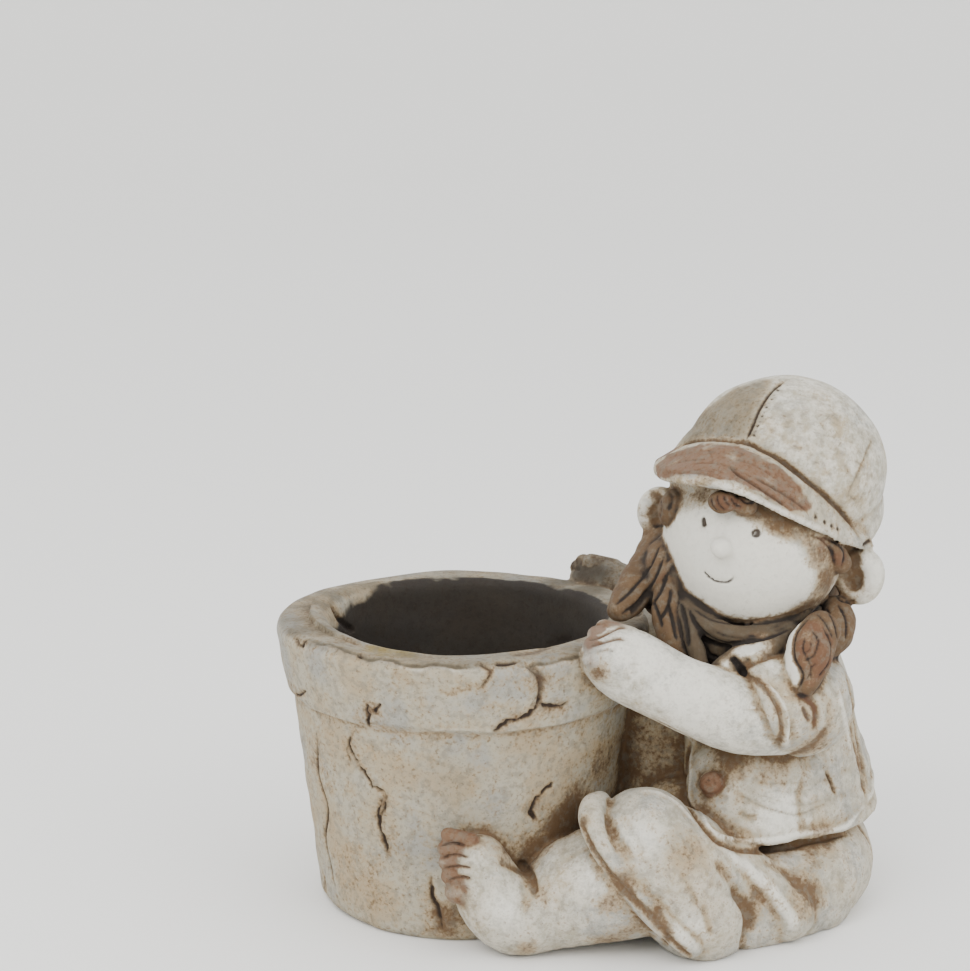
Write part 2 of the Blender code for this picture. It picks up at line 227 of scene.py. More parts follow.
class Casting:
    """The casting while it is put together, as closed forms that overlap."""

    def __init__(self) -> None:
        """Start with nothing."""
        self.form = bmesh.new()

    def add(self, piece: bmesh.types.BMesh, region: Region) -> None:
        """Add a closed piece, cut off flat at the ground.

        Args:
            piece: the piece's bmesh, which is freed.
            region: what the piece shows.
        """
        if min(vert.co.z for vert in piece.verts) < 0.0:
            cut_flat(piece, Vector((0.0, 0.0, 0.0)), Vector((0.0, 0.0, -1.0)))
        for face in piece.faces:
            face.material_index = int(region)
        mesh = bpy.data.meshes.new("piece")
        piece.to_mesh(mesh)
        piece.free()
        self.form.from_mesh(mesh)
        bpy.data.meshes.remove(mesh)

    def ball(self, region: Region, centre: Vector, radii: Sequence[float], turn: Matrix | None = None,
             fine: int = 28) -> None:
        """Add an ellipsoid, its radii across, deep and high in millimetres."""
        size = Matrix.Diagonal((radii[0] * MM, radii[1] * MM, radii[2] * MM, 1.0))
        place = Matrix.Translation(centre) @ (turn or Matrix.Identity(4)) @ size
        piece = bmesh.new()
        bmesh.ops.create_uvsphere(
            piece, u_segments=fine, v_segments=fine // 2 + 2, radius=1.0, matrix=place)
        self.add(piece, region)

    def tube(
        self, region: Region, start: Vector, start_radius: float, end: Vector, end_radius: float,
    ) -> None:
        """Add a straight tapered tube between two points, its radii in millimetres."""
        axis = end - start
        turn = axis.to_track_quat("Z", "Y").to_matrix().to_4x4()
        piece = bmesh.new()
        bmesh.ops.create_cone(
            piece, cap_ends=True, segments=32, radius1=start_radius * MM, radius2=end_radius * MM,
            depth=axis.length, matrix=Matrix.Translation((start + end) / 2) @ turn)
        self.add(piece, region)

    def limb(
        self, region: Region, joints: Sequence[tuple[float, float, float, float]], steps: int = 3,
    ) -> None:
        """Add a limb along a smooth course.

        Args:
            region: what the limb shows.
            joints: x, y, z and radius of each joint, in the child's millimetres.
            steps: how many tubes each stretch is made of.
        """
        course = smooth_course(joints, steps) if len(joints) > 2 else [np.asarray(joint) for joint in joints]
        places = [(DRAWING.child(*place[:3]), float(place[3])) for place in course]
        for point, radius in places:
            self.ball(region, point, (radius, radius, radius), None, 20)
        for (start, start_radius), (end, end_radius) in zip(places, places[1:]):
            self.tube(region, start, start_radius, end, end_radius)

    def ring(
        self, region: Region, centre: Vector, turn: Matrix, across: float, high: float, thick: float,
    ) -> None:
        """Add a rolled ring in the XZ plane of a turn, such as a cuff or an ear's rim."""
        count = 28
        spokes = [math.tau * index / count for index in range(count)]
        points = [
            centre + turn @ Vector((across * MM * math.cos(a), 0.0, high * MM * math.sin(a))) for a in spokes]
        for point, following in zip(points, points[1:] + points[:1]):
            self.ball(region, point, (thick, thick, thick), None, 14)
            self.tube(region, point, thick, following, thick)

    def clipped(self, region: Region, build: Callable[["Casting"], None],
                planes: Sequence[tuple[Vector, Vector]]) -> None:
        """Add what build makes, with each of its forms cut off flat by planes.

        Args:
            region: what the forms show.
            build: adds the forms to the casting that it is given.
            planes: a point and a normal towards the waste, for each cut.
        """
        part = Casting()
        build(part)
        for point, normal in planes:
            cut_flat(part.form, point, normal)
        self.add(part.form, region)

    def loft(self, region: Region, sections: Sequence[Sequence[Vector]]) -> None:
        """Add a closed skin over rings of points, with flat ends."""
        piece = bmesh.new()
        rings = []
        for section in sections:
            verts = [piece.verts.new(point) for point in section]
            rings.append([piece.edges.new((a, b)) for a, b in zip(verts, verts[1:] + verts[:1])])
        for ring, following in zip(rings, rings[1:]):
            bmesh.ops.bridge_loops(piece, edges=ring + following)
        for ring in (rings[0], rings[-1]):
            bmesh.ops.holes_fill(piece, edges=ring)
        bmesh.ops.recalc_face_normals(piece, faces=piece.faces[:])
        self.add(piece, region)

    def fused(self, grain: float, softening: int) -> tuple[bpy.types.Object, BVHTree, np.ndarray]:
        """Fuse the forms into one skin.

        Args:
            grain: the size of the skin's cells, in millimetres.
            softening: how many rounds of light smoothing it takes.

        Returns:
            The fused object, a search tree over the forms it came from, and each form face's region.
        """
        bmesh.ops.triangulate(self.form, faces=self.form.faces[:])
        mesh = bpy.data.meshes.new("casting")
        self.form.to_mesh(mesh)
        self.form.free()
        regions = np.empty(len(mesh.polygons), int)
        mesh.polygons.foreach_get("material_index", regions)
        tree = BVHTree.FromPolygons(
            [vert.co for vert in mesh.vertices], [tuple(face.vertices) for face in mesh.polygons],
            all_triangles=True)
        item = bpy.data.objects.new("casting", mesh)
        bpy.context.scene.collection.objects.link(item)
        fuse = item.modifiers.new("fuse", "REMESH")
        fuse.mode = "VOXEL"
        fuse.voxel_size = grain * MM
        soften = item.modifiers.new("soften", "SMOOTH")
        soften.factor = 0.5
        soften.iterations = softening
        apply_modifiers(item)
        return item, tree, regions


@dataclass(frozen=True)
class Mark:
    """A mark along a trail of pixels in the reference view.

    Args:
        width: its whole width in millimetres.
        depth: its depth in millimetres; a negative depth raises a ridge.
        trail: the pixels that it runs through.
        sharp: above 1 for a narrower bottom, below 1 for a wider one.
        wander: how far it strays from the trail, in pixels.
        tones: how much of each tone it takes.
    """

    width: float
    depth: float
    trail: Trail
    sharp: float
    wander: float
    tones: dict[Tone, float]


@dataclass(frozen=True)
class Stain:
    """A round stain in the reference view.

    Args:
        pixel: the pixel at its middle.
        reach: how far it reaches, in millimetres.
        tones: how much of each tone it adds or, below 0, takes away.
    """

    pixel: Pixel
    reach: float
    tones: dict[Tone, float]


def by_name(tones: dict[str, float]) -> dict[Tone, float]:
    """Tones from their names."""
    return {Tone(name): amount for name, amount in tones.items()}


def mark(width: float, depth: float, *trail: Pixel, sharp: float = 1.0, wander: float = 0.0,
         **tones: float) -> Mark:
    """A mark, with its tones by name."""
    return Mark(width, depth, trail, sharp, wander, by_name(tones))


def stain(x: float, y: float, reach: float, **tones: float) -> Stain:
    """A stain, with its tones by name."""
    return Stain((x, y), reach, by_name(tones))


def cut_flat(piece: bmesh.types.BMesh, point: Vector, normal: Vector) -> None:
    """Cut a closed bmesh off flat and close the cut; the normal points to the waste."""
    parts = piece.verts[:] + piece.edges[:] + piece.faces[:]
    cut = bmesh.ops.bisect_plane(piece, geom=parts, plane_co=point, plane_no=normal, clear_outer=True)
    rim = [edge for edge in cut["geom_cut"] if isinstance(edge, bmesh.types.BMEdge)]
    bmesh.ops.holes_fill(piece, edges=rim)


def apply_modifiers(item: bpy.types.Object) -> None:
    """Replace an object's mesh by what its modifiers make of it."""
    bpy.context.view_layer.update()
    graph = bpy.context.evaluated_depsgraph_get()
    mesh = bpy.data.meshes.new_from_object(item.evaluated_get(graph))
    item.modifiers.clear()
    old = item.data
    item.data = mesh
    bpy.data.meshes.remove(old)


class Surface:
    """The fused skin while it is carved and coloured.

    A course is read every STEP pixels, and a crack's course strays at every KINK-th of its places. Places that
    lie more than JUMP millimetres nearer or farther than their neighbours are on another form.
    """

    STEP = 1.2
    KINK = 4
    FEW = 5
    NEIGHBOURS = 6
    JUMP = 9.0
    # the share of its width that a mark keeps at its ends, and the share of its length that an end takes
    END_WIDTH = 0.45
    END_SHARE = 0.2
    LAID_STEPS = 30
    EASE = 0.7
    # rounds of smoothing and the depth in millimetres that counts as fully hollow, fine and broad
    HOLLOWS = ((10, 0.35), (70, 1.6))
    # cover is measured at every third point, from 1.2 millimetres off the surface
    SPARSE = 3
    LIFT = 1.2
    SPREADING = 6
    WAVES = 14
    WAVE_SUM = 5.0
    SOFT_ROUNDS = 5

    def __init__(self, item: bpy.types.Object, tree: BVHTree, regions: np.ndarray) -> None:
        """Read the skin, and learn what each of its points shows.

        Args:
            item: the fused object.
            tree: the search tree over the forms.
            regions: the region of each of the forms' faces.
        """
        self.item = item
        mesh = item.data
        count = len(mesh.vertices)
        flat = np.empty(count * 3)
        mesh.vertices.foreach_get("co", flat)
        self.points = flat.reshape(-1, 3)
        pairs = np.empty(len(mesh.edges) * 2, int)
        mesh.edges.foreach_get("vertices", pairs)
        self.pairs = pairs.reshape(-1, 2)
        ends = np.concatenate([self.pairs[:, 0], self.pairs[:, 1]])
        self.valence = np.maximum(np.bincount(ends, minlength=count), 1)
        self.tones = {tone: np.zeros(count) for tone in Tone}
        nearest = [tree.find_nearest(Vector(point))[2] for point in self.points]
        self.region = regions[np.array(nearest)]
        self.refresh()

    def refresh(self) -> None:
        """Write the points to the mesh, and read its normals and search tree again."""
        mesh = self.item.data
        mesh.vertices.foreach_set("co", self.points.ravel())
        mesh.update()
        flat = np.empty(len(mesh.vertices) * 3)
        mesh.vertex_normals.foreach_get("vector", flat)
        self.normals = flat.reshape(-1, 3)
        self.tree = BVHTree.FromObject(self.item, bpy.context.evaluated_depsgraph_get())
        self.search = KDTree(len(self.points))
        for number, point in enumerate(self.points):
            self.search.insert(point, number)
        self.search.balance()

    def neighbours(self, values: np.ndarray) -> np.ndarray:
        """The mean of each point's neighbours, for values or vectors."""
        first, second = self.pairs.T
        count = len(self.points)

        def gathered(column: np.ndarray) -> np.ndarray:
            """One column's mean over the neighbours."""
            total = np.bincount(first, column[second], count) + np.bincount(second, column[first], count)
            return total / self.valence

        if values.ndim == 1:
            return gathered(values)
        return np.stack([gathered(values[:, axis]) for axis in range(values.shape[1])], axis=1)

    def blurred(self, values: np.ndarray, rounds: int) -> np.ndarray:
        """Values softened over the surface."""
        for _ in range(rounds):
            values = 0.5 * values + 0.5 * self.neighbours(values)
        return values

    def mask(self, *regions: Region) -> np.ndarray:
        """Which points show one of the regions."""
        return np.isin(self.region, [int(region) for region in regions])

    def push(self, amount: np.ndarray) -> None:
        """Move each point along its normal by an amount in millimetres, outwards if positive."""
        self.points += self.normals * (amount * MM)[:, None]

    def seen(self, pixel: Pixel) -> Vector | None:
        """The point of the surface that a pixel of the reference view shows."""
        return self.tree.ray_cast(VIEW.origin, VIEW.ray(pixel))[0]

    def course(self, trail: Trail, wander: float = 0.0) -> np.ndarray:
        """The places on the surface along a trail of pixels.

        Args:
            trail: the pixels.
            wander: how far the course strays from the trail, in pixels, as a crack does.

        Returns:
            The places, without those that fall off on to something behind or in front.
        """
        longest = max(math.dist(start, end) for start, end in zip(trail, trail[1:]))
        steps = max(2, math.ceil(longest / self.STEP))
        pixels = np.array(smooth_course(trail, steps))
        if wander:
            source = np.random.default_rng(int(pixels[0].sum() * 10))
            kinks = source.normal(0.0, wander, (len(pixels) // self.KINK + 2, 2))
            rows = np.arange(len(pixels)) / self.KINK
            for axis in range(2):
                pixels[:, axis] += np.interp(rows, np.arange(len(kinks)), kinks[:, axis])
        places = [self.seen((float(place[0]), float(place[1]))) for place in pixels]
        found = np.array([place for place in places if place is not None])
        if len(found) < self.FEW:
            return found
        away = np.linalg.norm(found - np.array(VIEW.origin), axis=1)
        reach = self.NEIGHBOURS
        usual = np.array([np.median(away[max(0, row - reach):row + reach + 1]) for row in range(len(away))])
        return found[np.abs(away - usual) < self.JUMP * MM]

    def near(self, places: np.ndarray, reach: float, taper: bool = False,
             varied: bool = False) -> tuple[np.ndarray, np.ndarray]:
        """The points within a reach of some places.

        Args:
            places: places on the surface.
            reach: the reach in millimetres.
            taper: whether the reach narrows towards the first and the last place.
            varied: whether the reach opens and closes along the way, as a crack's does.

        Returns:
            The points' numbers, and their distances as shares of the reach.
        """
        shares: dict[int, float] = {}
        ends = max(2.0, self.END_SHARE * len(places))
        for row, place in enumerate(places):
            narrow = min(1.0, self.END_WIDTH + min(row, len(places) - 1 - row) / ends) if taper else 1.0
            if varied:
                # a slow and a quick swing of the width, along the places
                narrow *= 0.92 + 0.16 * math.sin(row * 0.23 + len(places)) + 0.08 * math.sin(row * 0.7)
            limit = reach * MM * narrow
            for _, number, gap in self.search.find_range(place, limit):
                share = 1.0 - (1.0 - gap / limit) * narrow
                if share < shares.get(number, 1.0):
                    shares[number] = share
        return np.array(list(shares), int), np.array(list(shares.values()))

    def carve(self, places: np.ndarray, width: float, depth: float, sharp: float = 1.0,
              tones: dict[Tone, float] | None = None, varied: bool = False) -> None:
        """Carve a groove, or raise a ridge where the depth is negative.

        Args:
            places: places along the groove.
            width: its whole width in millimetres.
            depth: its depth in millimetres.
            sharp: above 1 for a narrower bottom, below 1 for a wider one.
            tones: the tones that it takes.
            varied: whether its width varies.
        """
        if not len(places):
            return
        chosen, share = self.near(places, width / 2, len(places) > 6, varied)
        form = (1 - share ** 2) ** (2 * sharp)
        self.points[chosen] -= self.normals[chosen] * (depth * MM * form)[:, None]
        for tone, amount in (tones or {}).items():
            values = self.tones[tone]
            laid = amount * form
            values[chosen] = np.maximum(values[chosen], laid) if amount > 0 else values[chosen] + laid

    def marked(self, marks: Sequence[Mark]) -> None:
        """Carve marks that are seen in the reference view."""
        for mark in marks:
            course = self.course(mark.trail, mark.wander)
            self.carve(course, mark.width, mark.depth, mark.sharp, mark.tones, mark.wander > 0)

    def laid(self, places: Sequence[Vector], width: float, depth: float, tones: dict[Tone, float]) -> None:
        """Carve along places in the frame that are first laid on the surface, as on the hidden sides."""
        course = smooth_course(places, self.LAID_STEPS)
        near = [self.tree.find_nearest(Vector(place))[0] for place in course]
        self.carve(np.array(near), width, depth, 1.0, tones)

    def patch(self, pixel: Pixel, reach: float, tones: dict[Tone, float], depth: float = 0.0) -> None:
        """Shift tones, and sink the surface, round a pixel, fading out at the reach in millimetres.

        The change keeps to the region that the pixel shows.
        """
        place = self.seen(pixel)
        if place is None:
            return
        chosen, share = self.near(np.array([place]), reach)
        same = self.region[chosen] == self.region[self.search.find(place)[1]]
        chosen, share = chosen[same], share[same]
        form = (1 - share ** 2) ** 2
        self.points[chosen] -= self.normals[chosen] * (depth * MM * form)[:, None]
        for tone, amount in tones.items():
            self.tones[tone][chosen] += amount * form

    def stained(self, stains: Sequence[Stain]) -> None:
        """Lay stains that are seen in the reference view."""
        for spot in stains:
            self.patch(spot.pixel, spot.reach, spot.tones)

    def ease(self, pixel: Pixel, reach: float, rounds: int) -> None:
        """Smooth the surface round a pixel, so that forms that meet there run into each other."""
        share = np.zeros(len(self.points))
        chosen, gaps = self.near(np.array([self.seen(pixel)]), reach)
        share[chosen] = 1 - gaps ** 2
        for _ in range(rounds):
            self.points += (self.neighbours(self.points) - self.points) * share[:, None] * self.EASE
        self.refresh()

    def tint(self, chosen: np.ndarray, rounds: int, tones: dict[Tone, float]) -> None:
        """Shift tones where chosen, with an edge that is softened by some rounds."""
        share = self.blurred(chosen.astype(float), rounds)
        for tone, amount in tones.items():
            self.tones[tone] += amount * share

    def hollow(self) -> np.ndarray:
        """How hollow the surface is at a fine and a broad scale, from 0 to 1."""
        total = np.zeros(len(self.points))
        for rounds, size in self.HOLLOWS:
            soft = self.points.copy()
            for _ in range(rounds):
                soft = 0.5 * soft + 0.5 * self.neighbours(soft)
            depth = np.einsum("ij,ij->i", soft - self.points, self.normals) / MM
            total = np.maximum(total, np.clip(depth / size, -0.6, 1.0))
        return total

    def sheltered(self, reach: float, rays: int) -> np.ndarray:
        """How much of the open air each point misses within a reach.

        Args:
            reach: how far away a wall still counts, in millimetres.
            rays: how many directions are tried.

        Returns:
            The share of the directions that are blocked, for each point.
        """
        count = len(self.points)
        blocked = np.zeros(count)
        golden = math.pi * (3 - math.sqrt(5))
        picks = range(0, count, self.SPARSE)
        values = np.zeros(len(picks))
        limit = reach * MM
        for row, number in enumerate(picks):
            normal = Vector(self.normals[number])
            start = Vector(self.points[number]) + normal * (self.LIFT * MM)
            turn = normal.to_track_quat("Z", "Y")
            hits = 0
            for index in range(rays):
                height = 1 - (index + 0.5) / rays
                spread = math.sqrt(1 - height * height)
                angle = golden * index + number
                way = turn @ Vector((spread * math.cos(angle), spread * math.sin(angle), height))
                if self.tree.ray_cast(start, way, limit)[0] is not None:
                    hits += 1
            values[row] = hits / rays
        blocked[::self.SPARSE] = values
        known = np.zeros(count)
        known[::self.SPARSE] = 1.0
        for _ in range(self.SPREADING):
            blocked = self.neighbours(blocked) * 0.5 + blocked * 0.5
            known = self.neighbours(known) * 0.5 + known * 0.5
        return blocked / np.maximum(known, 1e-3)

    def inside(self, outline: Trail, *regions: Region) -> np.ndarray:
        """Which points of some regions face the reference view inside an outline of pixels."""
        turn = np.array(VIEW.turn.to_matrix())
        local = (self.points - np.array(VIEW.origin)) @ turn
        across = VIEW.width / 2 + VIEW.focal * local[:, 0] / -local[:, 2]
        down = VIEW.height / 2 - VIEW.focal * local[:, 1] / -local[:, 2]
        result = np.zeros(len(self.points), bool)
        corners = list(outline)
        for (x1, y1), (x2, y2) in zip(corners, corners[1:] + corners[:1]):
            crosses = (y1 > down) != (y2 > down)
            rise = (y2 - y1) if y2 != y1 else 1e-9
            result ^= crosses & (across < (x2 - x1) * (down - y1) / rise + x1)
        towards = np.einsum("ij,ij->i", self.normals, np.array(VIEW.origin) - self.points) > 0
        return result & towards & self.mask(*regions)

    def uneven(self, size: float, seed: int) -> np.ndarray:
        """A gentle unevenness from -1 to 1, with lumps about size millimetres across."""
        source = np.random.default_rng(seed)
        waves = source.normal(size=(self.WAVES, 3))
        lengths = source.uniform(0.7, 1.5, self.WAVES) / np.linalg.norm(waves, axis=1)
        waves *= lengths[:, None] * math.pi / (size * MM)
        shifts = source.uniform(0.0, math.tau, self.WAVES)
        total = np.zeros(len(self.points))
        for wave, shift in zip(waves, shifts):
            total += np.sin(self.points @ wave + shift)
        return np.clip(total / self.WAVE_SUM, -1.0, 1.0)

    def finished(self, faces: int, name: str) -> bpy.types.Object:
        """Thin the skin's triangles, and carry the tones over to what is left.

        Args:
            faces: how many triangles it may have.
            name: the piece's name.

        Returns:
            The finished piece.
        """
        self.refresh()
        soft = (Tone.WASH_AND_SHADE, Tone.PALE)
        tones = {}
        for tone, values in self.tones.items():
            tones[tone] = self.blurred(values, self.SOFT_ROUNDS if tone in soft else 1)
        triangles = sum(len(face.vertices) - 2 for face in self.item.data.polygons)
        thin = self.item.modifiers.new("thin", "DECIMATE")
        thin.ratio = min(1.0, faces / triangles)
        apply_modifiers(self.item)
        mesh = self.item.data
        nearest = np.array([self.search.find(vert.co)[1] for vert in mesh.vertices])
        for vert in mesh.vertices:
            vert.co.z = max(vert.co.z, 0.0)
        for tone, values in tones.items():
            layer = mesh.attributes.new(tone.value, "FLOAT", "POINT")
            layer.data.foreach_set("value", np.clip(values[nearest], -1.0, 1.0).astype(np.float32))
        mesh.polygons.foreach_set("material_index", np.zeros(len(mesh.polygons), np.int32))
        mesh.shade_smooth()
        self.item.name = name
        mesh.name = name
        return self.item


@dataclass(frozen=True)
class PotSizes:
    """The pot's measures in millimetres."""

    height: float = 186.0
    rim_radius: float = 120.0
    band_height: float = 44.0
    band_taper: float = 6.0
    lip_round: float = 7.0
    rim_thickness: float = 29.0
    neck_step: float = 4.5
    base_radius: float = 95.0
    base_round: float = 4.0
    wall: float = 16.0
    floor: float = 17.0
    floor_round: float = 8.0


class Flowerpot:
    """The round pot with its thick rim band, cracked and hand-finished."""

    def __init__(self, sizes: PotSizes = PotSizes()) -> None:
        """Keep the pot's measures."""
        self.sizes = sizes

    def section(self) -> list[tuple[float, float]]:
        """The pot's section from the middle of its floor, up the hollow, over the lip and down."""
        s = self.sizes
        band_foot = s.height - s.band_height
        band_low = s.rim_radius - s.band_taper
        neck = band_low - s.neck_step
        inner_top = s.rim_radius - s.rim_thickness
        inner_foot = s.base_radius - s.wall
        points = [(0.0, s.floor), (inner_foot - s.floor_round, s.floor), (inner_foot - 2.0, s.floor + 2.5)]
        points += [(inner_foot + 1.0, s.floor + s.floor_round), (inner_top, s.height - s.lip_round)]
        for turn in (150, 120, 90):
            angle = math.radians(turn)
            points.append((inner_top + s.lip_round * (1 + math.cos(angle)),
                           s.height - s.lip_round * (1 - math.sin(angle))))
        for turn in (90, 60, 30, 0):
            angle = math.radians(turn)
            points.append((s.rim_radius - s.lip_round * (1 - math.cos(angle)),
                           s.height - s.lip_round * (1 - math.sin(angle))))
        points += [(band_low, band_foot + 2.0), (band_low - 2.0, band_foot - 0.5), (neck, band_foot - 2.0)]
        points += [(s.base_radius, s.base_round), (s.base_radius - s.base_round, 0.0), (0.0, 0.0)]
        return points

    def build(self, casting: Casting) -> None:
        """Spin the section round the pot's axis."""
        piece = bmesh.new()
        verts = [piece.verts.new(Vector((radius, 0.0, z)) * MM) for radius, z in self.section()]
        edges = [piece.edges.new(pair) for pair in zip(verts, verts[1:])]
        bmesh.ops.spin(
            piece, geom=verts + edges, cent=(0, 0, 0), axis=(0, 0, 1), dvec=(0, 0, 0), angle=math.tau,
            steps=128, use_merge=True, use_duplicate=False)
        bmesh.ops.remove_doubles(piece, verts=piece.verts[:], dist=0.01 * MM)
        bmesh.ops.recalc_face_normals(piece, faces=piece.faces[:])
        bmesh.ops.translate(piece, verts=piece.verts[:], vec=DRAWING.axis)
        casting.add(piece, Region.POT)

    def dress(self, surface: Surface) -> None:
        """Carve and stain the pot, and lay its painted shade and highlights."""
        PotMarks().dress(surface)


CRACK = {Tone.LINE: 1.0}
SEAM = {Tone.LINE: 0.75}


class PotMarks:
    """The pot's cracks, chips and stains, and its painted shade and highlights, as the reference view shows
    them, and some on its hidden side.
    """

    CRACKS = (
        mark(2.6, 2.4, (353, 728), (350, 749), (361, 767), (372, 784), (386, 796), wander=1, line=1),
        mark(3.2, 2.6, (386, 796), (381, 818), (380, 828), (386, 843), (389, 857), wander=1, line=1),
        mark(2.6, 1.6, (384, 797), (378, 812), (379, 824), wander=1, line=1),
        mark(2.2, 1.3, (352, 746), (346, 750), (352, 764), wander=0.8, line=0.7),
        mark(3, 2.4, (367, 703), (367, 708), (368, 718), (371, 728), wander=1, line=1),
        mark(3.4, 2, (380, 702), (377, 710), (373, 712), wander=1, line=1),
        mark(3.4, 2.6, (431, 876), (433, 899), (438, 907), (443, 930), wander=1, line=1),
        mark(2.4, 2, (324, 874), (327, 892), wander=1, line=1),
        mark(3, 2.4, (293, 636), (301, 645), (308, 639), wander=1, line=1),
        mark(2.6, 2, (288, 680), (293, 693), (299, 695), (306, 691), wander=1, line=1),
        mark(3.6, 2.2, (359, 657), (360, 658), wander=1, line=1),
        mark(3.2, 2, (552, 783), (546, 791), (540, 797), wander=1, line=1),
        mark(4.2, 2.6, (540, 797), (533, 802), (531, 812), (535, 821), wander=1, line=1),
        mark(3.8, 2.4, (540, 703), (551, 707), (558, 706), (567, 704), wander=1, line=1),
        mark(3.6, 2.2, (540, 698), (534, 708), (526, 716), (510, 721), (500, 727), (492, 731), wander=1,
            line=1),
    )
    RIM_EDGES = (
        ((297, 634), (312, 641), (327, 645), (340, 648), (352, 653), (369, 659), (382, 659), (394, 661),
         (407, 665), (419, 667), (432, 664), (444, 665), (460, 668), (476, 668)),
        ((520, 668), (533, 665), (548, 664), (561, 660), (575, 658), (587, 655)),
    )
    FLAKES = (
        mark(3, 1.4, (476, 662), (486, 668), (491, 672), (486, 682), (478, 690), line=0.55),
        mark(4, 2.4, (495, 664), (506, 664), (518, 661), line=0.8),
        mark(2.4, 1, (524, 665), (532, 672), (539, 681), (540, 697), (536, 706), line=0.6),
        mark(7, 1.9, (530, 664), (540, 676), (542, 690), (538, 703), sharp=0.7, line=0.4, wash=0.3),
        mark(2, -0.8, (488, 690), (496, 678), (497, 668), pale=0.5),
        mark(2.6, -0.9, (519, 668), (530, 678), (533, 694), (528, 708), pale=0.5),
        mark(4, -1, (424, 731), (454, 729), (494, 731), (525, 728), (560, 723), (595, 713), pale=0.4),
        mark(4, -0.9, (305, 704), (321, 711), (359, 723), (385, 728), (423, 732), pale=0.4),
        mark(7, 2.4, (331, 605), (337, 616), (346, 626), (354, 631), shade=0.5),
        mark(9, 1, (510, 655), (532, 652), (552, 646), (573, 639), sharp=0.7, line=0.25),
        mark(1.8, 0.6, (436, 690), (450, 694), (466, 690), (474, 692), line=0.35),
    )
    # painted shade: the brown stains at (598, 770) and (606, 752) beside the child's body and from (572, 806)
    # to (500, 845) between the knee and the foot, and the dark grey at (560, 582) and (590, 590) on the far
    # rim; the rest are the pot's own stains and smudges
    STAINS = (
        stain(392, 652, 22, ochre=0.9), stain(370, 648, 12, ochre=0.6), stain(415, 657, 12, ochre=0.6),
        stain(572, 806, 24, wash=0.5), stain(562, 828, 22, wash=0.75),
        stain(541, 850, 20, wash=0.8, paint=0.2), stain(598, 770, 26, wash=0.22),
        stain(606, 752, 30, wash=0.2), stain(500, 845, 20, wash=0.45),
        stain(470, 832, 12, wash=0.5, paint=0.2), stain(596, 672, 14, wash=0.6),
        stain(448, 920, 22, wash=0.6), stain(490, 760, 40, pale=0.18), stain(450, 780, 50, grime=0.19),
        stain(525, 745, 34, grime=0.13), stain(400, 850, 34, grime=0.16), stain(560, 582, 16, grime=0.4),
        stain(590, 590, 16, grime=0.55), stain(430, 795, 30, pale=0.25), stain(318, 760, 34, wash=0.22),
        stain(365, 880, 34, wash=0.2), stain(340, 690, 26, pale=0.3), stain(450, 700, 36, pale=0.25),
    )
    BACK_CRACKS = (
        ((212, 96.0, 14.0), (208, 99.5, 48.0), (213, 103.0, 72.0), (209, 105.0, 96.0), (212, 108.0, 122.0)),
        ((140, 118.0, 178.0), (143, 117.0, 160.0), (139, 115.0, 147.0)),
        ((152, 105.0, 100.0), (148, 102.0, 78.0), (151, 100.0, 58.0)),
        ((100, 119.0, 172.0), (96, 116.0, 158.0), (99, 115.0, 148.0)),
    )
    SEED = 3

    # how far the rim's inside swells on the side away from the child, in millimetres
    SWELL = 3.5
    # the stained halo round a crack, as a share of its width
    HALO = 2.6
    # how far below its upper edge the painted highlight along the rim's lip runs, in pixels
    LIP_DROP = 3.2
    # the rim's inside lies within this radius, in millimetres
    RIM_INSIDE = 100.0
    # the top of the painted shade inside the pot, in millimetres, and how much higher it reaches at the back
    DARK_TOP = 178.0
    DARK_RISE = 12.0
    # from this height, in millimetres, dust lies on what faces up
    RIM_TOP = 172.0

    def dress(self, surface: Surface) -> None:
        """Make the pot a little uneven, then crack, chip and stain it, and lay painted shade inside it and
        beside the child and a painted highlight along the rim's lip.
        """
        pot = surface.blurred(surface.mask(Region.POT).astype(float), 6)
        surface.push(pot * (
            surface.uneven(70.0, self.SEED) * 1.1 + surface.uneven(17.0, self.SEED + 1) * 0.45))
        local = (surface.points - np.array(DRAWING.axis)) / MM
        radius = np.hypot(local[:, 0], local[:, 1])
        thick = np.clip(-local[:, 0] / 90.0, 0.0, 1.0) ** 2 * np.clip((local[:, 2] - 150.0) / 20.0, 0.0, 1.0)
        surface.push(np.where((radius < self.RIM_INSIDE) & surface.mask(Region.POT), thick * self.SWELL, 0.0))
        surface.refresh()
        for groove in (*self.CRACKS, *self.FLAKES):
            if groove.depth > 0:
                course = surface.course(groove.trail)
                surface.carve(course, groove.width * self.HALO, 0.0, tones={Tone.WASH_AND_SHADE: 0.28})
        surface.marked(self.CRACKS)
        surface.marked(self.FLAKES)
        # the rim's ragged edge is carved with a dark grey line, and a small ridge just under it takes a pale
        # painted highlight along the lip
        for edge in self.RIM_EDGES:
            below = tuple((x, y + self.LIP_DROP) for x, y in edge)
            surface.marked((
                mark(3.4, 0.9, *edge, wander=0.8, grime=0.45, line=0.16), mark(3.0, -0.6, *below, pale=0.8)))
        surface.stained(self.STAINS)
        for crack in self.BACK_CRACKS:
            surface.laid([DRAWING.round_pot(*place) for place in crack], 3.4, 2.4, CRACK)
